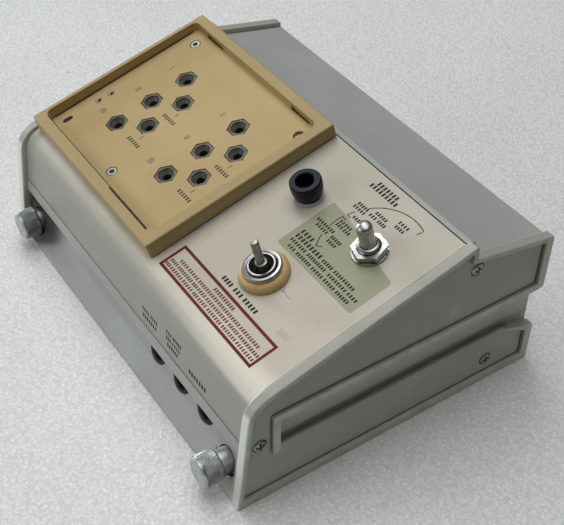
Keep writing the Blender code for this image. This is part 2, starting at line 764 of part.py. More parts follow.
def selector_wafer(number, top):
    """Insulating switch wafer threaded on the two studs."""
    x, s = SELECTOR_AT
    at = (x, s, 0.0)
    profile = [(3.8, top - 1.6), (16.5, top - 1.6), (16.5, top), (3.8, top)]
    obj = place("selector_wafer_%d" % number, moved(lathe(profile, ring=True), at), PANEL, at)
    cut(obj, [prism(circle(1.5, (x + dx, s), 16), top - 4, top + 4) for dx in (-12, 12)], PANEL)
    return finish(obj, "phenolic", smooth=True)


def selector_shaft():
    """Plain round shaft with a domed tip; its knob is missing."""
    at = (*SELECTOR_AT, 0.0)
    profile = [(0, -26.5), (2.9, -26.5), (3.175, -26.2), (3.175, 14.4)] + dome(3.175, 14.6, 2.0)
    obj = place("selector_shaft", moved(lathe(profile), at), PANEL, at)
    return finish(obj, "nickel", smooth=True)


# ---------------------------------------------------------------- lamp


def lamp_washer():
    at = (*LAMP_AT, 0.0)
    profile = [(4.3, GAP), (6.4, GAP), (6.4, 0.9), (6.2, 1.1), (4.3, 1.1)]
    obj = place("lamp_washer", moved(lathe(profile, ring=True), at), PANEL, at)
    return finish(obj, "pale_plastic", smooth=True)


def lamp_cap():
    """Black cap that widens upwards, with an open hole in its top."""
    at = (*LAMP_AT, 0.0)
    outside = [(0, 1.4), (5.7, 1.4), (5.9, 2.2), (6.6, 4.4), (6.8, 5.8), (6.8, 9.0), (6.3, 9.6)]
    hole = [(4.3, 9.6), (3.9, 9.2), (3.9, 2.8), (0, 2.8)]
    obj = place("lamp_cap", moved(lathe(outside + hole), at), PANEL, at)
    return finish(obj, "black_plastic", smooth=True)


def lamp_holder():
    """Threaded tube through the panel with the lamp body below."""
    at = (*LAMP_AT, 0.0)
    profile = [(0, -22), (5.2, -22), (5.2, -7), (4.0, -7), (4.0, 1.1), (0, 1.1)]
    obj = place("lamp_holder", moved(lathe(profile), at), PANEL, at)
    return finish(obj, "nickel", smooth=True)


def lamp_nut():
    x, s = LAMP_AT
    at = (x, s, 0.0)
    obj = place("lamp_nut", prism(hexagon(11.0, LAMP_AT), -4.3, -2.1), PANEL, at)
    cut(obj, [prism(circle(4.3, LAMP_AT), -8, 2)], PANEL)
    return finish(obj, "nickel")


# ---------------------------------------------------------------- front jacks and thumbscrews


def front_jack(number, x):
    """Push-fit insulated socket behind the sloping lower panel."""
    frame = front_jack_frame(x)
    outside = [(0, -15.0), (4.6, -15.0), (4.6, -3.2), (7.2, -3.2), (7.2, -1.8), (6.2, -1.8), (6.2, -0.6)]
    mouth = [(5.0, -0.6), (4.6, -1.6), (3.6, -3.4), (BORE, -3.8), (BORE, -12.0), (0, -12.0)]
    obj = place("front_jack_%d" % number, lathe(outside + mouth), frame)
    return finish(obj, "black_plastic", smooth=True)


def thumbscrew(side, sign):
    """Knurled thumbscrew: chamfered head, collar and threaded shank, with its axis along Y."""
    front = SCREW_FRONT[side]
    frame = BENCH @ Matrix.Translation(Vector((sign * SCREW_X, front, SCREW_Z))) @ TO_FRONT
    back = -HEAD_LENGTH
    head = [(0, 0), (5.7, 0), (HEAD_RADIUS, -1.2), (HEAD_RADIUS, back + 0.4), (HEAD_RADIUS - 0.4, back)]
    collar = [(5.2, back), (5.2, back - 9.1), (4.8, back - 9.5)]
    shank = [(2.4, back - 9.5), (2.4, back - 25.0), (1.6, back - 26.0), (0, back - 26.0)]
    obj = place("thumbscrew_" + side, lathe(head + collar + shank), frame)
    return finish(obj, "nickel", smooth=True)


def retaining_washer(side, sign):
    """Ring on the shank behind the bracket, which keeps the thumbscrew from falling out."""
    seat = SCREW_FRONT[side] + HEAD_LENGTH + 18.1
    frame = BENCH @ Matrix.Translation(Vector((sign * SCREW_X, seat, SCREW_Z))) @ TO_FRONT
    profile = [(2.7, -1.0), (4.6, -1.0), (4.6, 0), (2.7, 0)]
    obj = place("retaining_washer_" + side, lathe(profile, ring=True, steps=32), frame)
    return finish(obj, "steel", smooth=True)


def thumbscrew_bracket(side, sign):
    """Angle bracket on the bottom sheet that guides the thumbscrew's shank."""
    mesh = box((76.0, 94.4), (16.3, 17.8), (4.5, 22.4))
    obj = place("thumbscrew_bracket_" + side, mirrored(mesh, sign), BENCH)
    join(obj, [mirrored(box((76.0, 94.4), (17.0, 30.0), (4.5, 6.0)), sign)], BENCH)
    cut(obj, [prism(circle(3.0, (sign * SCREW_X, SCREW_Z), 28), 10, 24, "Y")], BENCH)
    return finish(obj, "steel")


# ---------------------------------------------------------------- assembly


def clear_scene():
    for obj in list(bpy.data.objects):
        bpy.data.objects.remove(obj, do_unlink=True)


def build_case():
    top_panel()
    rear_deck()
    front_sill()
    rear_panel()
    bottom_cover()
    rear_connector()
    interface_board()
    for side, sign in SIDES.items():
        side_plate(side, sign)
        thumbscrew(side, sign)
        retaining_washer(side, sign)
        thumbscrew_bracket(side, sign)
        for where in SIDE_SCREWS:
            side_screw(side, sign, where)
    for number, x in enumerate(JACK_X, start=1):
        front_jack(number, x)


def build_block():
    socket_block()
    for name, x, s in jack_centres():
        socket_jack(name, x, s)
    for number, (x, s, seat) in enumerate(BLOCK_SCREWS, start=1):
        block_screw(number, x, s, seat)
    interlock_plunger()
    interlock_switch()


def build_controls():
    toggle_spacer_ring()
    toggle_nut()
    toggle_bushing()
    toggle_body()
    toggle_lever()
    selector_lock_washer()
    selector_nut()
    selector_body()
    selector_wafer(1, -14.0)
    selector_wafer(2, -22.0)
    selector_shaft()
    lamp_washer()
    lamp_cap()
    lamp_holder()
    lamp_nut()


clear_scene()
build_case()
build_block()
build_controls()
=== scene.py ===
"""Looks of the curve tracer test fixture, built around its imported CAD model.

Lengths given in millimetres are turned into metres by MM. Panel coordinates lie on the sloping control panel:
x to the right, s uphill from the ridge (negative towards the operator), h straight out of the panel. The
words printed on the real object are left out: rows of plain blocks stand where they were.
"""

import math

import bpy
from mathutils import Matrix, Vector
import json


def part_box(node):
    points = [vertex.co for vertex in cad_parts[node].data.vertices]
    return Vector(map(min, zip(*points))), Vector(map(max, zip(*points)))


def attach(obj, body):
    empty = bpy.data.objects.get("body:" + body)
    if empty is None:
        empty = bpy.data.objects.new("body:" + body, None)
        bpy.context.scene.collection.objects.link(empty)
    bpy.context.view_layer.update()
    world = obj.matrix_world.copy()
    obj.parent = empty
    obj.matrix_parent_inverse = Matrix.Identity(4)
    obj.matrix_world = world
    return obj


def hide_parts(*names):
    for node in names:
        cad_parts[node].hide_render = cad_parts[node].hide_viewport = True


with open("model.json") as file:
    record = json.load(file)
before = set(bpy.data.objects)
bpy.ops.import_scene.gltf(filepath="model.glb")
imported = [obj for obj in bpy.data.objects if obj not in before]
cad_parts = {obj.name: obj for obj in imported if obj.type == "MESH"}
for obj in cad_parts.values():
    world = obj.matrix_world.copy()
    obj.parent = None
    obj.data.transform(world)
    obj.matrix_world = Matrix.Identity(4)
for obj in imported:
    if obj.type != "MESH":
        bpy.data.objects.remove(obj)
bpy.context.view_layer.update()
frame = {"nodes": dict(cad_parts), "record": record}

MM = 0.001
X, Y, Z = (1.0, 0.0, 0.0), (0.0, 1.0, 0.0), (0.0, 0.0, 1.0)
SHARP_DEGREES = 38  # edges of smooth pieces stay sharp above this angle

# ---- camera ----
CAMERA_AT = (0.315671, -0.198914, 0.356093)
CAMERA_RIGHT = (0.55439, 0.83217, 0.01177)
CAMERA_DOWN = (0.56448, -0.36558, -0.74008)
CAMERA_AHEAD = (-0.61157, 0.41694, -0.67242)
CAMERA_LENS = 70.5

# ---- panel frame, from the selector's hinge: its axis is normal to the panel and its point lies on it ----
JOINTS = {joint["name"]: joint for joint in frame["record"]["behaviour"]["joints"]}
NORMAL = Vector(JOINTS["selector_turn"]["axis"]).normalized()
RIGHT = Vector(X)
UPHILL = NORMAL.cross(RIGHT)
SELECTOR_AT = (72.3, -31.0)
TOGGLE_AT = (52.0, -67.4)
RIDGE = Vector(JOINTS["selector_turn"]["pos_m"]) - (RIGHT * SELECTOR_AT[0] + UPHILL * SELECTOR_AT[1]) * MM

# ---- case, in world millimetres ----
FRONT_FOOT_Y = -71.3
FRONT_LEAN = 0.109
FRONT_INSET = 2.5
SEAM_Z = 30.2
PLATE_FIELD = 99.5
SCREW_X = 85.8
SCREW_Z = 13.0
HEAD_RADIUS = 6.9

# ---- painted shadow in the sill's left corner: its slanting edge rises to the right from its foot (metres) ----
SHADOW_SLANT = (-0.539, 0, 0.842)
SHADOW_FOOT = (-0.0856, 0, 0)

# ---- socket block ----
WELL_FLOOR = 3.1
RIM_TOP = 8.19  # at the well's front edge
JACK_TOP = 2.9
SET_X = (-66.4, -21.4)
JACK_PITCH = 19.05
SENSE_X = 12.7
SENSE_BACK = 9.5
COLLECTOR_S = -31.4
BLOCK_RIGHT = 12.4
WELL_X = (-93.2, 7.0)
WELL_S = (-91.9, -8.0)
BLOCK_SCREWS = ((-84.2, -15.4, 3.1), (2.85, -15.5, 1.8), (-41.1, -86.1, 3.0))  # x, s, top of the head
EYELETS = ((-86.0, -61.7), (-86.4, -68.2))

# ---- printed marks ----
PRINT_LIFT = 0.03  # how far ink stands off the paint
LABEL_THICK = 0.05
LINE = 0.42
SMALL = 1.6  # heights of the rows of blocks
LARGE = 2.1
ARC_RADIUS = 22.0
LABEL_ARC_RADIUS = 22.2

# ---- contacts of the rear connector ----
CONTACT_COUNT = 16
CONTACT_PITCH = 3.6
CONTACT_WIDE = 1.8
CONTACT_LONG = 6.5
FIRST_CONTACT = -27.0
CONTACT_DEPTH = 8.2  # how far the contacts' feet lie inside the connector's mouth
CONTACT_ROW_Z = 3.4  # of each row, above or below the middle

# ---- knurled head of the thumbscrews ----
KNURL_LOBES = 26
KNURL_TWIST = 0.62
KNURL_DEPTH = 0.3
HEAD_LENGTH = 8.9
HEAD_CHAMFER = 1.2


# ---------------------------------------------------------------- frames


def basis(x_axis, y_axis, z_axis, origin):
    """A matrix with these axes as columns, placed at origin (metres)."""
    matrix = Matrix((x_axis, y_axis, z_axis)).transposed().to_4x4()
    matrix.translation = origin
    return matrix


def panel_frame(x=0.0, s=0.0):
    """Millimetre-to-metre frame on the panel at (x, s)."""
    origin = RIDGE + (RIGHT * x + UPHILL * s) * MM
    return basis(RIGHT, UPHILL, NORMAL, origin) @ Matrix.Scale(MM, 4)


def front_frame():
    """Frame on the leaning front face: x to the right, y along the world's Z, z out of the face."""
    up = Vector((0.0, FRONT_LEAN, 1.0))
    out = RIGHT.cross(up.normalized())
    origin = Vector((0.0, FRONT_FOOT_Y + FRONT_INSET, 0.0)) * MM
    return basis(RIGHT, up, out, origin) @ Matrix.Scale(MM, 4)


def along(origin, axis):
    """Frame at origin (metres) whose z points along the axis."""
    facing = Vector(axis).to_track_quat("Z", "Y").to_matrix().to_4x4()
    return Matrix.Translation(Vector(origin)) @ facing @ Matrix.Scale(MM, 4)


# ---------------------------------------------------------------- mesh pieces


def piece(name, verts, faces, where, material, body="case", slot=None, smooth=False):
    """A mesh object whose millimetre points are put in place by the frame where, riding on a CAD body."""
    mesh = bpy.data.meshes.new(name)
    mesh.from_pydata([where @ Vector(point) for point in verts], [], faces)
    mesh.validate()
    mesh.materials.append(material)
    if smooth:
        mesh.shade_smooth()
        mesh.set_sharp_from_angle(angle=math.radians(SHARP_DEGREES))
    obj = bpy.data.objects.new(name, mesh)
    bpy.context.scene.collection.objects.link(obj)
    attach(obj, body)
    return obj


def slab(outlines, low, high):
    """Points and faces of flat closed prisms, one for each (x, y) outline given anticlockwise."""
    verts, faces = [], []
    for outline in outlines:
        first, count = len(verts), len(outline)
        verts += [(x, y, low) for x, y in outline] + [(x, y, high) for x, y in outline]
        faces.append([first + count + index for index in range(count)])
        faces.append([first + index for index in reversed(range(count))])
        for index in range(count):
            after = (index + 1) % count
            faces.append((first + index, first + after, first + count + after, first + count + index))
    return verts, faces


def rectangle(x0, x1, y0, y1):
    """Outline of an upright rectangle."""
    return [(x0, y0), (x1, y0), (x1, y1), (x0, y1)]


def arc_band(centre, radius, width, start, end, steps=40):
    """Outline of a thin curved line about centre, from start to end degrees."""
    outer, inner = [], []
    for step in range(steps + 1):
        angle = math.radians(start + (end - start) * step / steps)
        way = (math.cos(angle), math.sin(angle))
        outer.append((centre[0] + way[0] * (radius + width / 2), centre[1] + way[1] * (radius + width / 2)))
        inner.append((centre[0] + way[0] * (radius - width / 2), centre[1] + way[1] * (radius - width / 2)))
    return outer + inner[::-1]


def stroke(start, end, width):
    """Outline of a straight thin line."""
    a, b = Vector(start), Vector(end)
    side = (b - a).normalized().orthogonal() * (width / 2)
    return [tuple(a + side), tuple(a - side), tuple(b - side), tuple(b + side)][::-1]


def rounded(corners, radius, steps=5):
    """The closed outline with each corner turned into an arc."""
    result = []
    for index, point in enumerate(corners):
        corner = Vector(point)
        before = (Vector(corners[index - 1]) - corner).normalized()
        after = (Vector(corners[(index + 1) % len(corners)]) - corner).normalized()
        half = before.angle(after) / 2
        centre = corner + (before + after).normalized() * (radius / math.sin(half))
        first = corner + before * (radius / math.tan(half)) - centre
        last = corner + after * (radius / math.tan(half)) - centre
        sweep = first.angle_signed(last)
        for step in range(steps + 1):
            result.append(tuple(centre + Matrix.Rotation(-sweep * step / steps, 2) @ first))
    return result


def turned(profile, steps=48):
    """Points and faces of a closed (radius, height) profile turned about z."""
    verts, faces = [], []
    rows = len(profile)
    for step in range(steps):
        angle = 2 * math.pi * step / steps
        verts += [(r * math.cos(angle), r * math.sin(angle), h) for r, h in profile]
    for step in range(steps):
        here, there = step * rows, (step + 1) % steps * rows
        for row in range(rows):
            after = (row + 1) % rows
            faces.append((here + row, there + row, there + after, here + after))
    return verts, faces


# ---------------------------------------------------------------- shader building


class Paint:
    """A Principled material, with short calls that add nodes and wire them."""

    def __init__(self, name):
        self.material = bpy.data.materials.new(name)
        self.material.use_nodes = True
        self.tree = self.material.node_tree
        self.shader = self.tree.nodes["Principled BSDF"]
        self.place = self.add("ShaderNodeTexCoord").outputs["Object"]

    def add(self, kind, **settings):
        node = self.tree.nodes.new(kind)
        for key, value in settings.items():
            setattr(node, key, value)
        return node

    def feed(self, socket, value):
        """Links a socket to an output, or sets its constant."""
        if isinstance(value, bpy.types.NodeSocket):
            self.tree.links.new(value, socket)
        elif isinstance(value, (tuple, list)) and len(value) == 3 and socket.type == "RGBA":
            socket.default_value = (*value, 1.0)
        else:
            socket.default_value = value

    def noise(self, scale, detail=4.0, roughness=0.55, stretch=None):
        """Fractal noise from 0 to 1; scale is features for each metre, stretch squeezes it along an axis."""
        node = self.add("ShaderNodeTexNoise")
        node.inputs["Scale"].default_value = scale
        node.inputs["Detail"].default_value = detail
        node.inputs["Roughness"].default_value = roughness
        vector = self.place
        if stretch:
            mapping = self.add("ShaderNodeMapping")
            mapping.inputs["Scale"].default_value = stretch
            self.feed(mapping.inputs["Vector"], self.place)
            vector = mapping.outputs["Vector"]
        self.feed(node.inputs["Vector"], vector)
        return node.outputs["Fac"]

    def spots(self, scale, size):
        """Small scattered round spots: 1 inside a spot, 0 elsewhere."""
        node = self.add("ShaderNodeTexVoronoi")
        node.inputs["Scale"].default_value = scale
        self.feed(node.inputs["Vector"], self.place)
        return self.ramp(node.outputs["Distance"], size, size * 0.5)

    def ramp(self, value, low, high):
        """Smooth rise from 0 at low to 1 at high, or a fall if low is the larger."""
        node = self.add("ShaderNodeMapRange", interpolation_type="SMOOTHSTEP")
        self.feed(node.inputs["Value"], value)
        node.inputs["From Min"].default_value = low
        node.inputs["From Max"].default_value = high
        return node.outputs["Result"]

    def maths(self, operation, first, second=0.0):
        node = self.add("ShaderNodeMath", operation=operation)
        self.feed(node.inputs[0], first)
        self.feed(node.inputs[1], second)
        return node.outputs["Value"]

    def times(self, first, second):
        """Product of two masks, or a mask made weaker by a number."""
        return self.maths("MULTIPLY", first, second)

    def mix(self, factor, first, second):
        """Colour between first and second."""
        node = self.add("ShaderNodeMix", data_type="RGBA")
        self.feed(node.inputs["Factor"], factor)
        self.feed(node.inputs[6], first)
        self.feed(node.inputs[7], second)
        return node.outputs[2]

    def height(self, direction, origin=(0.0, 0.0, 0.0)):
        """Distance in metres of each point from the plane through origin across direction."""
        node = self.add("ShaderNodeVectorMath", operation="DOT_PRODUCT")
        self.feed(node.inputs[0], self.place)
        node.inputs[1].default_value = direction
        return self.maths("SUBTRACT", node.outputs["Value"], Vector(direction).dot(Vector(origin)))

    def near(self, point, radius):
        """Soft round mask about a point given in world millimetres: 1 at its middle, 0 beyond the radius."""
        node = self.add("ShaderNodeVectorMath", operation="DISTANCE")
        self.feed(node.inputs[0], self.place)
        node.inputs[1].default_value = Vector(point) * MM
        return self.ramp(node.outputs["Value"], radius * MM, radius * 0.4 * MM)

    def band(self, value, low, high, soft):
        """1 while value lies from low to high (millimetres), fading over soft millimetres on both sides."""
        rise = self.ramp(value, (low - soft) * MM, low * MM)
        fall = self.ramp(value, (high + soft) * MM, high * MM)
        return self.times(rise, fall)

    def darken(self, tone, mask, amount, dirt):
        """The tone mixed with dirt by mask times amount."""
        return self.mix(self.times(mask, amount), tone, dirt)

    def colour(self, value):
        self.feed(self.shader.inputs["Base Color"], value)

    def rough(self, value):
        self.feed(self.shader.inputs["Roughness"], value)

    def rough_between(self, factor, low, high):
        node = self.add("ShaderNodeMapRange")
        self.feed(node.inputs["Value"], factor)
        node.inputs["To Min"].default_value = low
        node.inputs["To Max"].default_value = high
        self.rough(node.outputs["Result"])

    def metal(self):
        self.shader.inputs["Metallic"].default_value = 1.0

    def relief(self, height, strength, distance):
        """Bump from a height; further calls add to it. Distance is in millimetres."""
        node = self.add("ShaderNodeBump")
        node.inputs["Strength"].default_value = strength
        node.inputs["Distance"].default_value = distance * MM
        self.feed(node.inputs["Height"], height)
        if self.shader.inputs["Normal"].is_linked:
            self.feed(node.inputs["Normal"], self.shader.inputs["Normal"].links[0].from_socket)
        self.feed(self.shader.inputs["Normal"], node.outputs["Normal"])


# ---------------------------------------------------------------- materials


def enamel(paint, colour, shade, grime, gloss=0.42):
    """Satin baked paint with blotches, mottle, specks, rubbed streaks and orange peel. Returns its tone."""
    blotch = paint.ramp(paint.noise(26, 3), 0.35, 0.7)
    tone = paint.mix(blotch, shade, colour)
    tone = paint.darken(tone, paint.ramp(paint.noise(420, 5, 0.6), 0.45, 0.8), 0.22, grime)
    tone = paint.darken(tone, paint.ramp(paint.noise(60, 6, 0.7, (1.0, 6.0, 1.0)), 0.62, 0.8), 0.14, grime)
    tone = paint.darken(tone, paint.spots(75, 0.035), 0.6, (0.09, 0.075, 0.06))
    paint.rough_between(paint.noise(90, 5), gloss - 0.08, gloss + 0.14)
    paint.relief(paint.noise(900, 2), 0.12, 0.05)
    paint.relief(paint.noise(70, 2), 0.2, 0.1)
    return tone


def left_sill_shadow(paint):
    """Mask of the painted shadow in the sill's corner by the left thumbscrew, fading to the right and
    downwards.
    """
    beyond = paint.height(SHADOW_SLANT, SHADOW_FOOT)
    # a dark painted shadow, and a weaker painted half-shadow beyond its edge
    strong = paint.times(paint.ramp(beyond, -3.2 * MM, 1.2 * MM), 0.8)
    weak = paint.times(paint.ramp(beyond, -7.5 * MM, -4.0 * MM), 0.2)
    fade = paint.ramp(paint.height(X), -54 * MM, -72 * MM)
    below_lip = paint.ramp(paint.height(Z), 24.0 * MM, 23.6 * MM)
    return paint.times(paint.times(paint.maths("ADD", strong, weak), fade), below_lip)


def case_paint():
    """Grey paint of the sheets: a greyer deck with two brown specks, a sill with a painted shadow in its left
    corner and a thin painted shade line across it.
    """
    paint = Paint("case_enamel_look")
    tone = enamel(paint, (0.42, 0.435, 0.415), (0.375, 0.385, 0.365), (0.27, 0.26, 0.22), 0.52)
    tone = paint.darken(tone, paint.near((83.0, 68.7, 60.0), 1.6), 0.7, (0.12, 0.08, 0.05))
    tone = paint.darken(tone, paint.near((9.0, 65.7, 60.6), 1.2), 0.4, (0.14, 0.10, 0.07))
    front = paint.ramp(paint.height(Y), -60 * MM, -62 * MM)
    # painted shadow in the sill's left corner, beside the left thumbscrew
    tone = paint.darken(tone, paint.times(left_sill_shadow(paint), front), 0.93, (0.016, 0.013, 0.010))
    tone = paint.darken(tone, paint.ramp(paint.height(Z), 50 * MM, 60 * MM), 0.5, (0.26, 0.265, 0.262))
    # painted shade: a thin darker line across the sill where the lip's shadow ends
    low = paint.band(paint.height(Z), 16.7, 17.2, 0.4)
    tone = paint.darken(tone, paint.times(low, front), 0.18, (0.18, 0.17, 0.14))
    paint.colour(tone)
    return paint.material


def plate_paint():
    """Case paint on the cast plates: worn rims, painted highlight on the front edge and the inner faces,
    painted shade with some dirt on the groove's ledge, painted shade towards the top and painted light
    towards the foot.
    """
    paint = Paint("plate_enamel_look")
    tone = enamel(paint, (0.375, 0.38, 0.335), (0.33, 0.335, 0.30), (0.21, 0.205, 0.15), 0.4)
    out = paint.maths("ABSOLUTE", paint.height(X))
    up = paint.height(Z)
    rim = paint.ramp(out, 100.3 * MM, 100.9 * MM)
    worn = paint.times(rim, paint.ramp(paint.noise(120, 4), 0.2, 0.6))
    tone = paint.darken(tone, worn, 0.7, (0.60, 0.60, 0.53))
    # painted highlight: the front edge is painted nearly white
    lean = Vector((0.0, 1.0, -FRONT_LEAN)).normalized()
    edge = paint.height(lean, (0.0, FRONT_FOOT_Y * MM, 0.0))
    tone = paint.darken(tone, paint.ramp(edge, 1.1 * MM, 0.25 * MM), 0.9, (0.84, 0.87, 0.81))
    inner = paint.ramp(out, 100.6 * MM, 96.6 * MM)
    along_groove = paint.ramp(paint.height(Y), -53.5 * MM, -52.5 * MM)
    # painted shade, with some dirt, on the groove's lower ledge
    ledge = paint.times(paint.band(up, 25.0, 27.3, 0.5), paint.times(inner, along_groove))
    tone = paint.darken(tone, ledge, 0.85, (0.07, 0.07, 0.048))
    # painted highlight: the inner faces are paler
    tone = paint.darken(tone, paint.ramp(out, 97.2 * MM, 96.9 * MM), 0.6, (0.55, 0.55, 0.49))
    tone = paint.darken(tone, paint.near((99.5, 30.7, 52.0), 3.6), 0.4, (0.50, 0.50, 0.47))
    # painted shade towards the top of the plates
    tone = paint.darken(tone, paint.ramp(up, 38 * MM, 66 * MM), 0.35, (0.27, 0.265, 0.225))
    # painted light towards the foot of the plates
    tone = paint.darken(tone, paint.ramp(up, 30 * MM, 4 * MM), 0.4, (0.52, 0.52, 0.46))
    paint.colour(tone)
    return paint.material


def panel_paint():
    """Warm grey paint of the control panel: painted shade on the front face, beside the block and uphill,
    painted highlight along the bend, and painted shade with dirt along the seam.
    """
    paint = Paint("panel_enamel_look")
    tone = enamel(paint, (0.52, 0.475, 0.395), (0.485, 0.445, 0.37), (0.38, 0.34, 0.27), 0.4)
    # painted shade: darker uphill
    uphill = paint.ramp(paint.height(UPHILL, RIDGE), -85 * MM, -10 * MM)
    tone = paint.darken(tone, uphill, 0.5, (0.37, 0.345, 0.285))
    up = paint.height(Z)
    # painted shade: the front face below the bend is much greyer and darker
    tone = paint.darken(tone, paint.ramp(up, 56.2 * MM, 50.5 * MM), 0.9, (0.325, 0.325, 0.29))
    # painted highlight along the top of the bend
    bend = paint.times(paint.band(up, 54.9, 56.0, 0.8), paint.ramp(paint.noise(45, 4), 0.2, 0.6))
    tone = paint.darken(tone, bend, 0.45, (0.68, 0.65, 0.57))
    # painted shadow of the socket block on the panel, along its right side
    beside = paint.band(paint.height(X), BLOCK_RIGHT - 1.0, BLOCK_RIGHT + 1.1, 1.2)
    beside = paint.times(beside, paint.ramp(paint.height(UPHILL, RIDGE), -90 * MM, -87 * MM))
    tone = paint.darken(tone, beside, 0.55, (0.30, 0.295, 0.265))
    # painted highlight: a broader pale band on the bend, stronger towards its right end
    rightward = paint.ramp(paint.height(X), 20 * MM, 92 * MM)
    corner = paint.times(paint.band(up, 52.5, 56.5, 2.0), rightward)
    tone = paint.darken(tone, corner, 0.55, (0.80, 0.74, 0.65))
    # painted shade, with some dirt, along the seam at the foot of the front face
    tone = paint.darken(tone, paint.band(up, 30.0, 31.0, 1.2), 0.35, (0.16, 0.13, 0.09))
    tone = paint.darken(tone, paint.ramp(paint.noise(1400, 3, 0.6), 0.5, 0.75), 0.25, (0.36, 0.30, 0.25))
    paint.colour(tone)
    return paint.material


def tan_plastic(name="tan_plastic_look", shade=(0.40, 0.29, 0.122), colour=(0.455, 0.33, 0.145)):
    """Moulded tan plastic with a fine grain, blotches, specks, a duller rim, and painted shade on the right
    side.
    """
    paint = Paint(name)
    tone = paint.mix(paint.ramp(paint.noise(22, 3), 0.3, 0.7), shade, colour)
    tone = paint.darken(tone, paint.ramp(paint.noise(500, 4), 0.5, 0.8), 0.3, (0.30, 0.215, 0.085))
    tone = paint.darken(tone, paint.spots(90, 0.03), 0.5, (0.12, 0.08, 0.04))
    rim = paint.ramp(paint.height(NORMAL, RIDGE), 3.6 * MM, 7.5 * MM)
    tone = paint.darken(tone, rim, 0.6, (0.30, 0.22, 0.092))
    # painted shade on the block's right side
    right = paint.band(paint.height(X), BLOCK_RIGHT - 0.1, BLOCK_RIGHT + 1.0, 0.5)
    tone = paint.darken(tone, right, 0.3, (0.17, 0.135, 0.07))
    paint.colour(tone)
    paint.rough_between(paint.noise(150, 4), 0.45, 0.62)
    paint.relief(paint.noise(1800, 3), 0.25, 0.05)
    return paint.material


def nickel(name="nickel_look", colour=(0.46, 0.47, 0.465), dull=(0.23, 0.235, 0.225), low=0.22, high=0.44):
    """Plated metal: bright, cloudy in places, with fine scratches."""
    paint = Paint(name)
    cloud = paint.ramp(paint.noise(180, 5, 0.65), 0.4, 0.75)
    paint.colour(paint.mix(cloud, colour, dull))
    paint.metal()
    paint.rough_between(paint.noise(400, 5), low, high)
    paint.relief(paint.noise(700, 6, 0.7, (1.0, 5.0, 1.0)), 0.08, 0.04)
    return paint.material


def jack_metal():
    """Dull, cloudy nickel of the sockets' hexagonal heads."""
    paint = Paint("jack_metal_look")
    cloud = paint.ramp(paint.noise(240, 5, 0.65), 0.35, 0.7)
    paint.colour(paint.mix(cloud, (0.155, 0.145, 0.12), (0.085, 0.08, 0.065)))
    paint.metal()
    paint.rough_between(paint.noise(500, 4), 0.38, 0.6)
    paint.relief(paint.noise(900, 4), 0.15, 0.05)
    return paint.material


def dark_metal():
    """Zinc-plated steel of the small screws and brackets."""
    paint = Paint("screw_steel_look")
    cloud = paint.ramp(paint.noise(300, 5, 0.65), 0.35, 0.75)
    paint.colour(paint.mix(cloud, (0.46, 0.45, 0.43), (0.20, 0.19, 0.17)))
    paint.metal()
    paint.rough_between(paint.noise(600, 4), 0.28, 0.5)
    return paint.material


def lever_metal():
    """Nickel above the bushing; the ball inside it is painted near black as shade."""
    paint = Paint("lever_look")
    depth = paint.height(NORMAL, RIDGE)
    clean = paint.ramp(depth, 3.2 * MM, 5.5 * MM)
    cloud = paint.ramp(paint.noise(260, 5, 0.65), 0.4, 0.75)
    bright = paint.mix(cloud, (0.33, 0.32, 0.285), (0.17, 0.165, 0.14))
    # painted shade: near black below the bushing's mouth
    paint.colour(paint.mix(clean, (0.012, 0.012, 0.012), bright))
    paint.metal()
    paint.rough_between(paint.noise(500, 5), 0.34, 0.55)
    paint.relief(paint.noise(900, 4), 0.2, 0.06)
    return paint.material


def black_plastic(name, colour=(0.0025, 0.0045, 0.009)):
    """Dark moulded plastic with a little dust and faint scuffs."""
    paint = Paint(name)
    tone = paint.darken(colour, paint.ramp(paint.noise(350, 6, 0.7), 0.6, 0.9), 0.3, (0.04, 0.045, 0.055))
    tone = paint.darken(tone, paint.spots(150, 0.04), 0.5, (0.4, 0.4, 0.42))
    paint.colour(tone)
    paint.shader.inputs["Specular IOR Level"].default_value = 0.22
    paint.rough_between(paint.noise(260, 4), 0.36, 0.5)
    paint.relief(paint.noise(1100, 3), 0.1, 0.04)
    return paint.material


def lining():
    """Dull dark lining inside the sockets."""
    paint = Paint("socket_lining_look")
    cloud = paint.ramp(paint.noise(300, 4), 0.4, 0.8)
    paint.colour(paint.mix(cloud, (0.05, 0.05, 0.045), (0.09, 0.088, 0.08)))
    paint.rough_between(paint.noise(500, 3), 0.35, 0.6)
    return paint.material


def pit():
    """Matt black that stands in for the shade in deep gaps and holes."""
    paint = Paint("pit_look")
    paint.colour(paint.mix(paint.noise(400, 3), (0.004, 0.004, 0.004), (0.012, 0.011, 0.010)))
    paint.rough_between(paint.noise(300, 3), 0.7, 0.9)
    return paint.material


def pale_plastic():
    """Milky plastic of the lamp's washer."""
    paint = Paint("pale_plastic_look")
    cloud = paint.ramp(paint.noise(300, 4), 0.35, 0.7)
    paint.colour(paint.mix(cloud, (0.46, 0.45, 0.41), (0.36, 0.345, 0.31)))
    paint.rough_between(paint.noise(200, 3), 0.35, 0.5)
    paint.relief(paint.noise(900, 3), 0.12, 0.04)
    return paint.material


def phenolic():
    """Brown fibrous board of the switch bodies and the rear connector."""
    paint = Paint("phenolic_look")
    fibre = paint.noise(700, 5, 0.7, (1.0, 1.0, 8.0))
    paint.colour(paint.mix(fibre, (0.11, 0.05, 0.022), (0.20, 0.10, 0.045)))
    paint.rough_between(paint.noise(300, 3), 0.5, 0.65)
    paint.relief(fibre, 0.15, 0.05)
    return paint.material


def board():
    """Green circuit board."""
    paint = Paint("board_look")
    paint.colour(paint.mix(paint.noise(500, 5), (0.02, 0.10, 0.045), (0.04, 0.17, 0.08)))
    paint.rough_between(paint.noise(200, 3), 0.3, 0.45)
    return paint.material


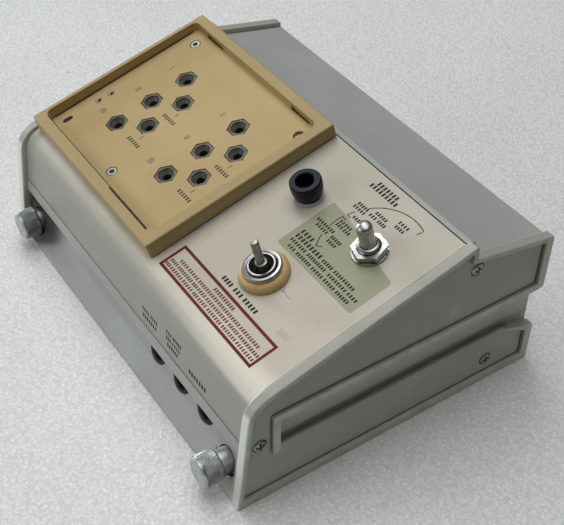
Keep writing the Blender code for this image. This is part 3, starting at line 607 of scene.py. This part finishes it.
def ink(name, colour, worn):
    """Screen-printed ink, a little broken where it is rubbed."""
    paint = Paint(name)
    paint.colour(paint.mix(paint.ramp(paint.noise(900, 5, 0.7), 0.5, 0.75), colour, worn))
    paint.shader.inputs["Specular IOR Level"].default_value = 0.2
    paint.rough_between(paint.noise(400, 3), 0.45, 0.6)
    return paint.material


def label_green():
    """Dusty green vinyl, a little faded in places."""
    paint = Paint("label_green_look")
    tone = paint.mix(paint.ramp(paint.noise(60, 4), 0.35, 0.7), (0.256, 0.265, 0.158), (0.287, 0.292, 0.18))
    tone = paint.darken(tone, paint.ramp(paint.noise(600, 5), 0.5, 0.8), 0.2, (0.37, 0.37, 0.27))
    paint.colour(tone)
    paint.rough_between(paint.noise(120, 4), 0.4, 0.55)
    paint.relief(paint.noise(500, 3), 0.1, 0.04)
    return paint.material


def contact_gold():
    """Gold plating of the connector's contacts."""
    return nickel("contact_gold_look", (0.78, 0.58, 0.25), (0.62, 0.44, 0.18), 0.2, 0.35)


def knurled():
    """Dull nickel of the thumbscrews, with dirt low in the knurling and painted shade on the rolled side of
    the left one.
    """
    paint = Paint("knurl_look")
    cloud = paint.ramp(paint.noise(350, 5, 0.65), 0.35, 0.75)
    across = paint.maths("SUBTRACT", paint.maths("ABSOLUTE", paint.height(X)), SCREW_X * MM)
    up = paint.height(Z, (0, 0, SCREW_Z * MM))
    square = paint.maths("ADD", paint.times(across, across), paint.times(up, up))
    radius = paint.maths("SQRT", square)
    clean = paint.ramp(radius, (HEAD_RADIUS - 0.28) * MM, (HEAD_RADIUS - 0.05) * MM)
    head = paint.ramp(radius, (HEAD_RADIUS - 0.5) * MM, (HEAD_RADIUS - 0.42) * MM)
    groove = paint.times(head, paint.maths("SUBTRACT", 1.0, clean))
    tone = paint.mix(cloud, (0.56, 0.585, 0.57), (0.37, 0.38, 0.365))
    tone = paint.darken(tone, groove, 0.65, (0.12, 0.12, 0.11))
    # painted shade on the rolled side of the left thumbscrew
    left = paint.ramp(paint.height(X), 0.0, -10 * MM)
    rolled = paint.ramp(radius, (HEAD_RADIUS - 1.0) * MM, (HEAD_RADIUS - 0.5) * MM)
    paint.colour(paint.darken(tone, paint.times(left, rolled), 0.6, (0.16, 0.175, 0.165)))
    paint.metal()
    paint.rough_between(paint.noise(500, 4), 0.3, 0.46)
    paint.relief(paint.noise(1200, 4), 0.12, 0.04)
    return paint.material


def foam():
    """Pale expanded-foam sheet: fine beads, with painted glints on some of them."""
    paint = Paint("floor_look")
    tone = paint.mix(paint.ramp(paint.noise(9, 3), 0.35, 0.7), (0.66, 0.68, 0.675), (0.70, 0.715, 0.71))
    bead = paint.add("ShaderNodeTexVoronoi")
    bead.inputs["Scale"].default_value = 560
    paint.feed(bead.inputs["Vector"], paint.place)
    tone = paint.darken(tone, paint.ramp(bead.outputs["Distance"], 0.35, 0.75), 0.3, (0.42, 0.43, 0.42))
    # painted glints: near-white speckles
    tone = paint.darken(tone, paint.ramp(paint.noise(800, 4, 0.65), 0.56, 0.66), 0.85, (0.95, 0.97, 0.97))
    tone = paint.darken(tone, paint.spots(28, 0.022), 0.7, (0.12, 0.11, 0.10))
    paint.colour(tone)
    paint.rough_between(paint.noise(600, 3), 0.25, 0.6)
    paint.relief(bead.outputs["Distance"], 0.4, 0.4)
    return paint.material


# ---------------------------------------------------------------- materials on the CAD nodes


def dress(material, *names):
    """Puts the material on the CAD nodes whose names start with any of these words."""
    for name, obj in frame["nodes"].items():
        if name.startswith(names):
            obj.data.materials.clear()
            obj.data.materials.append(material)


def dress_nodes():
    """Gives each CAD node its look."""
    steel = dark_metal()
    bright = nickel()
    dress(case_paint(), "rear_deck", "front_sill", "rear_panel", "bottom_cover")
    dress(plate_paint(), "side_plate")
    dress(panel_paint(), "top_panel")
    dress(tan_plastic(), "socket_block")
    dress(tan_plastic("tan_ring_look", (0.50, 0.335, 0.14), (0.59, 0.42, 0.185)), "toggle_spacer_ring")
    dress(bright, "toggle_nut", "toggle_bushing", "selector_", "lamp_holder", "lamp_nut")
    dress(lever_metal(), "toggle_lever")
    dress(jack_metal(), "socket_jack")
    dress(steel, "side_screw", "block_screw", "thumbscrew", "retaining_washer")
    dress(black_plastic("cap_look", (0.0004, 0.005, 0.014)), "lamp_cap")
    dress(black_plastic("front_jack_look", (0.012, 0.016, 0.018)), "front_jack", "interlock")
    dress(pale_plastic(), "lamp_washer")
    dress(phenolic(), "toggle_body", "selector_wafer", "rear_connector")
    dress(board(), "interface_board")


# ---------------------------------------------------------------- printed marks


def ticks(x_range, y, tall):
    """Outlines of a row of plain upright blocks, one in place of each letter of a printed word."""
    x0, x1 = x_range
    weight = 0.5 * tall
    count = max(1, round((x1 - x0 + 0.38 * tall) / (0.88 * tall)))
    pitch = (x1 - x0 + 0.38 * tall) / count
    lefts = [x0 + pitch * index for index in range(count)]
    return [rectangle(left, left + weight, y - tall / 2, y + tall / 2) for left in lefts]


def words(rows):
    """Outlines of every word in rows of (y, height, [(x0, x1), ...])."""
    outlines = []
    for y, tall, spans in rows:
        for span in spans:
            outlines += ticks(span, y, tall)
    return outlines


def print_on(name, outlines, where, material, low=-0.01, high=PRINT_LIFT, slot="panel_enamel"):
    """Thin printed or stained patches lying on a surface."""
    verts, faces = slab(outlines, low, high)
    return piece(name, verts, faces, where, material, slot=slot)


def control_marks(black):
    """Black marks round the selector and below the lever switch."""
    rows = [
        (-7.0, LARGE, [(46.8, 59.1)]),
        (-9.4, LARGE, [(44.9, 61.3)]),
        (-19.0, SMALL, [(49.1, 55.2)]),
        (-21.1, SMALL, [(48.8, 55.6)]),
        (-24.9, SMALL, [(53.4, 60.0)]),
        (-17.2, SMALL, [(58.4, 64.9)]),
        (-19.5, SMALL, [(57.1, 61.0), (62.2, 66.6)]),
        (-13.8, SMALL, [(68.8, 74.5)]),
        (-16.1, SMALL, [(69.1, 74.0)]),
        (-80.4, LARGE, [(41.3, 47.4), (49.6, 54.9), (56.5, 65.2)]),
    ]
    outlines = words(rows)
    outlines.append(arc_band(SELECTOR_AT, ARC_RADIUS, LINE, 71.6, 144.0))
    outlines.append(arc_band(SELECTOR_AT, ARC_RADIUS, LINE, 158.0, 166.6, 8))
    outlines.append(stroke((79.2, -10.6), (78.4, -13.1), LINE))
    outlines.append(stroke((50.8, -25.9), (52.9, -26.4), LINE))
    print_on("print_controls", outlines, panel_frame(), black)


def green_label(black):
    """Thin green sticker left of the selector, with its own marks."""
    corners = [(41.6, -54.6), (90.3, -54.6), (90.3, -34.6), (80.0, -32.7), (51.2, -26.6), (41.6, -25.9)]
    print_on("label_green", [rounded(corners, 1.2)], panel_frame(), label_green(), high=LABEL_THICK)
    rows = [
        (-29.9, SMALL, [(51.6, 58.4)]),
        (-31.9, SMALL, [(51.5, 55.2), (56.2, 59.7)]),
        (-35.6, SMALL, [(43.8, 54.5)]),
        (-37.7, SMALL, [(45.9, 52.9)]),
        (-37.4, SMALL, [(55.4, 61.3)]),
        (-39.6, SMALL, [(55.7, 60.9)]),
        (-44.0, LARGE, [(44.7, 52.0)]),
        (-46.7, LARGE, [(44.7, 61.1)]),
        (-46.9, SMALL, [(62.7, 68.8), (70.3, 82.7)]),
        (-49.5, SMALL, [(44.7, 54.4), (56.0, 67.4), (69.7, 81.0), (82.3, 87.9)]),
        (-52.2, SMALL, [(46.6, 50.8), (52.3, 61.2), (62.6, 69.4), (70.6, 77.2), (78.5, 85.9)]),
    ]
    outlines = words(rows)
    outlines.append(arc_band(SELECTOR_AT, LABEL_ARC_RADIUS, LINE, 172.0, 189.0, 12))
    outlines.append(arc_band(SELECTOR_AT, LABEL_ARC_RADIUS, LINE, 202.3, 218.0, 12))
    outlines.append(stroke((50.2, -27.9), (52.7, -28.3), LINE))
    outlines.append(stroke((54.9, -44.6), (57.0, -43.0), LINE))
    print_on("print_green_label", outlines, panel_frame(), black, 0.0, LABEL_THICK + PRINT_LIFT)


def red_frame():
    """Red border with four rows of generic red marks, in place of a printed notice."""
    left, right, low, high, band = 16.3, 84.2, -96.3, -83.0, 1.3
    outlines = [
        rectangle(left, right, high - band, high),
        rectangle(left, right, low, low + band),
        rectangle(left, left + band, low + band, high - band),
        rectangle(right - band, right, low + band, high - band),
    ]
    red = ink("ink_red_look", (0.125, 0.006, 0.010), (0.15, 0.014, 0.02))
    print_on("print_red_frame", outlines, panel_frame(), red)
    rows = [
        (-86.1, 1.7, [(43.8, 57.7)]),
        (-88.7, SMALL, [(21.9, 27.2), (28.2, 35.2), (36.2, 49.8), (50.6, 65.6), (66.6, 79.1)]),
        (-91.2, SMALL, [(18.4, 23.0), (24.0, 34.2), (35.2, 38.2), (39.2, 44.6)]),
        (-91.2, SMALL, [(45.6, 61.0), (62.2, 68.4), (69.4, 82.4)]),
        (-93.6, SMALL, [(17.9, 20.9), (21.9, 30.2), (31.2, 38.2), (39.2, 42.4)]),
        (-93.6, SMALL, [(43.4, 48.9), (50.1, 59.8), (60.9, 70.2), (71.2, 82.4)]),
    ]
    faded = ink("ink_faded_red_look", (0.14, 0.03, 0.032), (0.20, 0.08, 0.075))
    print_on("print_red_rows", words(rows), panel_frame(), faded)


def front_marks(black):
    """Three groups of marks on the front face, above the front jacks."""
    rows = [
        (38.2, 1.7, [(18.0, 23.6), (24.8, 30.2)]),
        (34.9, 1.9, [(18.5, 29.5)]),
        (41.0, 1.7, [(37.6, 41.6), (42.9, 49.0)]),
        (37.9, 1.7, [(37.6, 41.2), (42.6, 48.5)]),
        (34.9, 1.8, [(38.8, 47.0)]),
        (34.8, 2.2, [(56.0, 68.5)]),
    ]
    print_on("print_front", words(rows), front_frame(), black)


def block_marks():
    """Brown tally marks beside the main sockets, and rows of small bars beside the sense sockets."""
    outlines = []
    for x in SET_X:
        for row in range(3):
            s = COLLECTOR_S - row * JACK_PITCH - 0.6
            for bar in range(row + 1):
                middle = x - 12.0 + (bar - row / 2) * 1.1
                outlines.append(rectangle(middle - 0.2, middle + 0.2, s - 1.5, s + 1.5))
        for row in range(2):
            s = COLLECTOR_S - SENSE_BACK - row * JACK_PITCH
            outlines += words([(s - 10.2, 1.9, [(x + 12.2, x + 21.4)])])
            outlines.append(rectangle(x + 17.2, x + 17.6, s - 7.3, s - 4.9))
    brown = ink("ink_brown_look", (0.075, 0.055, 0.03), (0.19, 0.14, 0.07))
    low, high = WELL_FLOOR - 0.01, WELL_FLOOR + PRINT_LIFT
    print_on("print_block", outlines, panel_frame(), brown, low, high, "tan_plastic")


def well_shade_and_dirt():
    """Painted shade, with some dirt, round the edge of the well's floor, and a dark line of painted shade
    along the top of its front rim.
    """
    (x0, x1), (s0, s1) = WELL_X, WELL_S
    outlines = [
        rectangle(x0 + 3.0, x1 - 3.0, s0, s0 + 0.55),
        rectangle(x0, x0 + 0.9, s0 + 3.0, s1 - 3.0),
        rectangle(x1 - 0.6, x1, s0 + 3.0, s1 - 3.0),
        arc_band((x0 + 3.0, s0 + 3.0), 2.8, 0.5, 180, 270, 10),
        arc_band((x1 - 3.0, s0 + 3.0), 2.8, 0.4, 270, 360, 10),
    ]
    dirt = ink("ink_shade_and_dirt_look", (0.028, 0.018, 0.008), (0.07, 0.05, 0.022))
    print_on("well_shade_and_dirt", outlines, panel_frame(), dirt, WELL_FLOOR - 0.01, WELL_FLOOR + 0.02, "tan_plastic")
    # painted shade: a dark line along the front rim's top, where the well's front wall is shaded
    edge = [rectangle(-28.0, x1 - 2.6, s0 - 1.1, s0 - 0.02), rectangle(x0 + 3.0, -28.0, s0 - 0.4, s0 - 0.02)]
    print_on("well_edge_shade", edge, panel_frame(), dirt, RIM_TOP - 0.3, RIM_TOP + 0.02, "tan_plastic")


def eyelets(metal, black):
    """Two small dull rings pressed into the left side of the well, with their holes painted black as shade.
    """
    for number, (x, s) in enumerate(EYELETS, start=1):
        ring = turned([(0.85, 3.0), (1.95, 3.0), (1.95, 3.15), (1.5, 3.25), (0.85, 3.1)], 24)
        piece("eyelet_%d" % number, *ring, panel_frame(x, s), metal, slot="nickel", smooth=True)
        # painted shade: a black disc in each hole
        hole = slab([arc_band((0.0, 0.0), 0.44, 0.86, 0, 359, 20)], 2.4, 2.8)
        piece("eyelet_hole_%d" % number, *hole, panel_frame(x, s), black, slot="black_plastic")


def seam_shadow(black):
    """Painted shade, with some dirt, in the gap between the front face and the section below it."""
    front = FRONT_FOOT_Y + FRONT_INSET + FRONT_LEAN * SEAM_Z
    verts, faces = slab([rectangle(-96.0, 96.0, front + 0.05, front + 1.3)], SEAM_Z - 0.32, SEAM_Z + 0.22)
    piece("seam_shade_and_dirt", verts, faces, Matrix.Scale(MM, 4), black, slot="black_plastic")


def plate_shade_lines(dirt):
    """Thin dark lines of painted shade on each plate, inside its rims and along the lip round the rail
    groove.
    """
    rear_y, groove_y = 74.6, -54.6
    lines = [
        ((38.6, 74.0), (rear_y, 67.6), 0.4),
        ((rear_y, 67.6), (rear_y, 45.0), 0.9),
        ((groove_y, 44.8), (rear_y, 44.8), 0.7),
        ((-55.3, 44.5), (-55.3, 23.6), 0.4),
        ((-66.5, 4.35), (73.5, 4.35), 0.9),
        ((73.3, 4.6), (73.3, 18.0), 0.9),
        ((-68.4, 6.5), (-63.9, 46.6), 0.35),
    ]
    for side, sign in (("left", -1), ("right", 1)):
        where = basis((0, sign, 0), (0, 0, 1), (sign, 0, 0), Vector((sign * PLATE_FIELD, 0, 0)) * MM)
        strips = [stroke((sign * a[0], a[1]), (sign * b[0], b[1]), width) for a, b, width in lines]
        print_on("plate_shade_lines_" + side, strips, where @ Matrix.Scale(MM, 4), dirt, slot="case_enamel")


def panel_edge_dirt():
    """Brown dirt in the joint between the panel and the right plate, and a thin line at the left one."""
    outlines = [rectangle(95.5, 96.2, -97.0, -3.0), rectangle(-96.2, -95.8, -100.0, -98.0)]
    dirt = ink("joint_dirt_look", (0.22, 0.175, 0.13), (0.45, 0.40, 0.33))
    print_on("panel_edge_dirt", outlines, panel_frame(), dirt)


def ridge_shadow(black):
    """Dark joint between the panel and the narrow strip along the ridge."""
    print_on("ridge_joint", [rectangle(-95.5, 95.0, -2.78, -2.22)], panel_frame(), black, -0.6, 0.02)


def panel_stain():
    """Faint pale patch on the panel, right of the red frame."""
    outlines = [rectangle(77.7, 84.0, -80.0, -77.0)]
    stain = ink("stain_look", (0.465, 0.44, 0.35), (0.50, 0.46, 0.38))
    print_on("panel_stain", outlines, panel_frame(), stain, high=0.008)


def panel_hair():
    """Thin curved scratch to the right of the lever switch."""
    outlines = [
        stroke((63.0, -67.3), (65.4, -66.9), 0.16),
        stroke((65.4, -66.9), (67.6, -67.2), 0.16),
        stroke((67.6, -67.2), (70.0, -66.9), 0.14),
        stroke((62.6, -65.4), (64.6, -67.0), 0.16),
    ]
    mark = ink("scratch_look", (0.09, 0.08, 0.075), (0.22, 0.20, 0.18))
    print_on("panel_scratch", outlines, panel_frame(), mark)


# ---------------------------------------------------------------- small parts


def socket_linings(dark):
    """Coned dark lining in the mouth of each socket of the block."""
    profile = [
        (3.5, JACK_TOP - 0.42), (2.2, JACK_TOP - 1.7), (1.95, JACK_TOP - 1.9), (1.95, -9.0),
        (2.02, -9.0), (2.02, JACK_TOP - 1.95), (2.25, JACK_TOP - 1.76), (3.55, JACK_TOP - 0.5),
    ]
    shape = turned(profile, 32)
    for number, x in enumerate(SET_X, start=1):
        spots = [(word, x, COLLECTOR_S, row) for row, word in enumerate(("collector", "base", "emitter"))]
        sense = (x + SENSE_X, COLLECTOR_S - SENSE_BACK)
        spots += [(word, *sense, row) for row, word in enumerate(("collector_sense", "emitter_sense"))]
        for word, across, first_s, row in spots:
            name = "lining_%d_%s" % (number, word)
            where = panel_frame(across, first_s - row * JACK_PITCH)
            piece(name, *shape, where, dark, slot="black_plastic", smooth=True)


def toggle_mouth_shade(black):
    """Dark ring of painted shade down inside the lever switch's bushing."""
    verts, faces = turned([(3.35, 2.3), (4.25, 2.3), (4.25, 2.9), (3.35, 2.6)], 40)
    piece("toggle_mouth_shade_ring", verts, faces, panel_frame(*TOGGLE_AT), black, slot="black_plastic", smooth=True)


def selector_collar(bright):
    """Retaining ring round the foot of the selector's shaft, above its threaded bushing."""
    verts, faces = turned([(3.4, 4.25), (4.35, 4.25), (4.5, 4.6), (4.35, 5.2), (3.7, 5.5), (3.4, 5.4)], 48)
    piece("selector_collar", verts, faces, panel_frame(*SELECTOR_AT), bright, slot="nickel", smooth=True)


def ring_points(radius, z, steps):
    """Points of a circle about z."""
    angles = [2 * math.pi * step / steps for step in range(steps)]
    return [(radius * math.cos(angle), radius * math.sin(angle), z) for angle in angles]


def ring_faces(lower, upper, steps, flip=False):
    """Quads between two rings of points, given by the index of each one's first point."""
    faces = []
    for step in range(steps):
        after = (step + 1) % steps
        quad = (lower + step, lower + after, upper + after, upper + step)
        faces.append(quad[::-1] if flip else quad)
    return faces


def knurled_band(radius, steps, rows):
    """The rolled side of the head: two crossed sets of grooves, running out at both ends."""
    verts, faces = [], []
    for row in range(rows + 1):
        z = HEAD_CHAMFER + (HEAD_LENGTH - 0.5 - HEAD_CHAMFER) * row / rows
        for step in range(steps):
            angle = 2 * math.pi * step / steps
            left = abs(math.sin(angle * KNURL_LOBES + row * KNURL_TWIST))
            right = abs(math.sin(angle * KNURL_LOBES - row * KNURL_TWIST))
            groove = KNURL_DEPTH * (1.0 - min(left, right)) if 0 < row < rows else KNURL_DEPTH
            verts.append(((radius - groove) * math.cos(angle), (radius - groove) * math.sin(angle), z))
    for row in range(rows):
        faces += ring_faces(row * steps, (row + 1) * steps, steps)
    return verts, faces


def knurled_head(side, metal, steps=264, rows=44):
    """The whole thumbscrew, with crossed knurling cut in its head and fine rings on its face."""
    low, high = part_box("thumbscrew_" + side)
    radius = (high[0] - low[0]) / 2 / MM
    middle = Vector(((low[0] + high[0]) / 2, low[1], (low[2] + high[2]) / 2))
    verts, faces = knurled_band(radius, steps, rows)
    face_rings = [
        (radius - 0.3, HEAD_CHAMFER - 0.08), (radius - 1.15, 0.12), (radius - 1.4, 0.0), (5.0, 0.0),
        (4.8, 0.1), (4.5, 0.1), (4.3, 0.0), (2.0, 0.02), (1.8, 0.1), (0.05, 0.12),
    ]
    neck, tail = HEAD_LENGTH + 9.5, HEAD_LENGTH + 26.0
    back_rings = [
        (radius - 0.35, HEAD_LENGTH - 0.35), (radius - 0.7, HEAD_LENGTH), (5.2, HEAD_LENGTH),
        (5.2, neck - 0.4), (4.8, neck), (2.4, neck), (2.4, tail - 1.0), (1.6, tail), (0.05, tail),
    ]
    for first_ring, rings, flip in ((0, face_rings, True), (rows * steps, back_rings, False)):
        previous = first_ring
        for ring_radius, z in rings:
            first = len(verts)
            verts += ring_points(ring_radius, z, steps)
            faces += ring_faces(previous, first, steps, flip)
            previous = first
    where = along(middle, Y)
    name = "knurled_thumbscrew_" + side
    head = piece(name, verts, faces, where, metal, "screw_" + side, "nickel", smooth=True)
    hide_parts("thumbscrew_" + side)


def recess_cross(name, where, span, arm, low, high, material):
    """Black cross of painted shade at the bottom of a driver recess."""
    outline = [
        (-span, -arm), (-arm, -arm), (-arm, -span), (arm, -span), (arm, -arm), (span, -arm),
        (span, arm), (arm, arm), (arm, span), (-arm, span), (-arm, arm), (-span, arm),
    ]
    verts, faces = slab([outline], low, high)
    piece(name, verts, faces, where, material, slot="steel")


def screw_recesses(black):
    """Black painted shade in the driver recesses of the side and block screws, and in the gap round each side
    screw.
    """
    for side, sign in (("left", -1), ("right", 1)):
        for spot in ("front", "ridge", "rear"):
            low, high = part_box("side_screw_%s_%s" % (spot, side))
            outer = high[0] if sign > 0 else low[0]
            centre = (outer, (low[1] + high[1]) / 2, (low[2] + high[2]) / 2)
            where = along(centre, (sign, 0.0, 0.0))
            recess_cross("recess_%s_%s" % (spot, side), where, 1.75, 0.72, -0.98, -0.1, black)
            ring = turned([(2.82, -1.85), (3.18, -1.85), (3.18, -1.05), (2.82, -1.05)], 28)
            piece("screw_gap_%s_%s" % (spot, side), *ring, where, black, slot="black_plastic")
    for number, (x, s, top) in enumerate(BLOCK_SCREWS, start=1):
        hole = slab([arc_band((0.0, 0.0), 0.52, 1.02, 0, 359, 24)], top - 0.58, top - 0.1)
        piece("recess_block_%d" % number, *hole, panel_frame(x, s), black, slot="steel")


def connector_contacts(gold):
    """Two rows of spring contacts in the rear connector."""
    low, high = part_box("rear_connector")
    verts, faces = [], []
    middle_z = (low[2] + high[2]) / 2 / MM
    foot = high[1] / MM - CONTACT_DEPTH
    lefts = [FIRST_CONTACT + CONTACT_PITCH * index for index in range(CONTACT_COUNT)]
    outlines = [rectangle(left, left + CONTACT_WIDE, foot, foot + CONTACT_LONG) for left in lefts]
    for row in (-1, 1):
        z = middle_z + row * CONTACT_ROW_Z
        points, polygons = slab(outlines, z - 0.3, z + 0.3)
        offset = len(verts)
        verts += points
        faces += [[index + offset for index in polygon] for polygon in polygons]
    piece("connector_contacts", verts, faces, Matrix.Scale(MM, 4), gold, slot="nickel")


# ---------------------------------------------------------------- stage


def build_stage():
    """Plain pale floor under the object."""
    mesh = bpy.data.meshes.new("floor")
    corners = [(x, y, 0.0) for x, y in rectangle(-3.0, 3.0, -3.0, 3.0)]
    mesh.from_pydata(corners, [], [(0, 1, 2, 3)])
    mesh.materials.append(foam())
    floor = bpy.data.objects.new("floor", mesh)
    bpy.context.scene.collection.objects.link(floor)


def area_light(name, at, target, size, power, colour):
    """Rectangular soft light at a place, aimed at its target."""
    data = bpy.data.lights.new(name, "AREA")
    data.shape = "RECTANGLE"
    data.size, data.size_y = size
    data.energy = power
    data.color = colour
    lamp = bpy.data.objects.new(name, data)
    aim = (Vector(target) - Vector(at)).to_track_quat("-Z", "Y").to_matrix().to_4x4()
    lamp.matrix_world = Matrix.Translation(Vector(at)) @ aim
    bpy.context.scene.collection.objects.link(lamp)


def light_scene():
    """Soft lamps above, in front and low on the left, in a dim room."""
    area_light("key", (-0.95, 0.3, 1.5), (0, 0, 0.05), (0.9, 0.9), 8.0, (1.0, 0.99, 0.97))
    area_light("overhead", (-0.05, -0.05, 1.9), (0, 0, 0.04), (1.5, 1.5), 20.0, (0.985, 1.0, 1.0))
    area_light("front_fill", (-0.5, -1.4, 0.75), (0, 0, 0.04), (1.0, 0.7), 5.5, (0.96, 0.99, 1.0))
    area_light("low_left", (-1.9, -0.45, 0.3), (0, 0, 0.02), (0.4, 0.25), 20.0, (0.95, 0.99, 1.0))
    world = bpy.data.worlds.new("studio")
    world.use_nodes = True
    background = world.node_tree.nodes["Background"]
    background.inputs["Color"].default_value = (1.0, 0.98, 0.94, 1.0)
    background.inputs["Strength"].default_value = 0.1
    bpy.context.scene.world = world
    bpy.context.scene.view_settings.view_transform = "Standard"


def set_camera():
    """Camera above the front right corner, looking down to the rear left."""
    data = bpy.data.cameras.new("camera")
    data.lens = CAMERA_LENS
    data.sensor_width = 36.0
    data.clip_start = 0.01
    camera = bpy.data.objects.new("camera", data)
    right, down, ahead = Vector(CAMERA_RIGHT), Vector(CAMERA_DOWN), Vector(CAMERA_AHEAD)
    camera.matrix_world = basis(right, -down, -ahead, Vector(CAMERA_AT))
    bpy.context.scene.collection.objects.link(camera)
    bpy.context.scene.camera = camera


# ---------------------------------------------------------------- assembly

set_camera()
build_stage()
light_scene()
dress_nodes()

KNURL = knurled()
BLACK_INK = ink("ink_black_look", (0.008, 0.008, 0.008), (0.02, 0.019, 0.018))
BLACK_PIT = pit()
BRIGHT = nickel("nickel_trim_look")

control_marks(BLACK_INK)
green_label(BLACK_INK)
red_frame()
front_marks(BLACK_INK)
block_marks()
well_shade_and_dirt()
eyelets(nickel("eyelet_look", (0.33, 0.29, 0.21), (0.20, 0.175, 0.12), 0.4, 0.6), BLACK_PIT)
seam_shadow(BLACK_PIT)
plate_shade_lines(ink("plate_shade_lines_look", (0.085, 0.085, 0.06), (0.17, 0.17, 0.135)))
panel_edge_dirt()
ridge_shadow(BLACK_PIT)
panel_stain()
panel_hair()
socket_linings(lining())
toggle_mouth_shade(BLACK_PIT)
selector_collar(BRIGHT)
knurled_head("left", KNURL)
knurled_head("right", KNURL)
screw_recesses(BLACK_PIT)
connector_contacts(contact_gold())
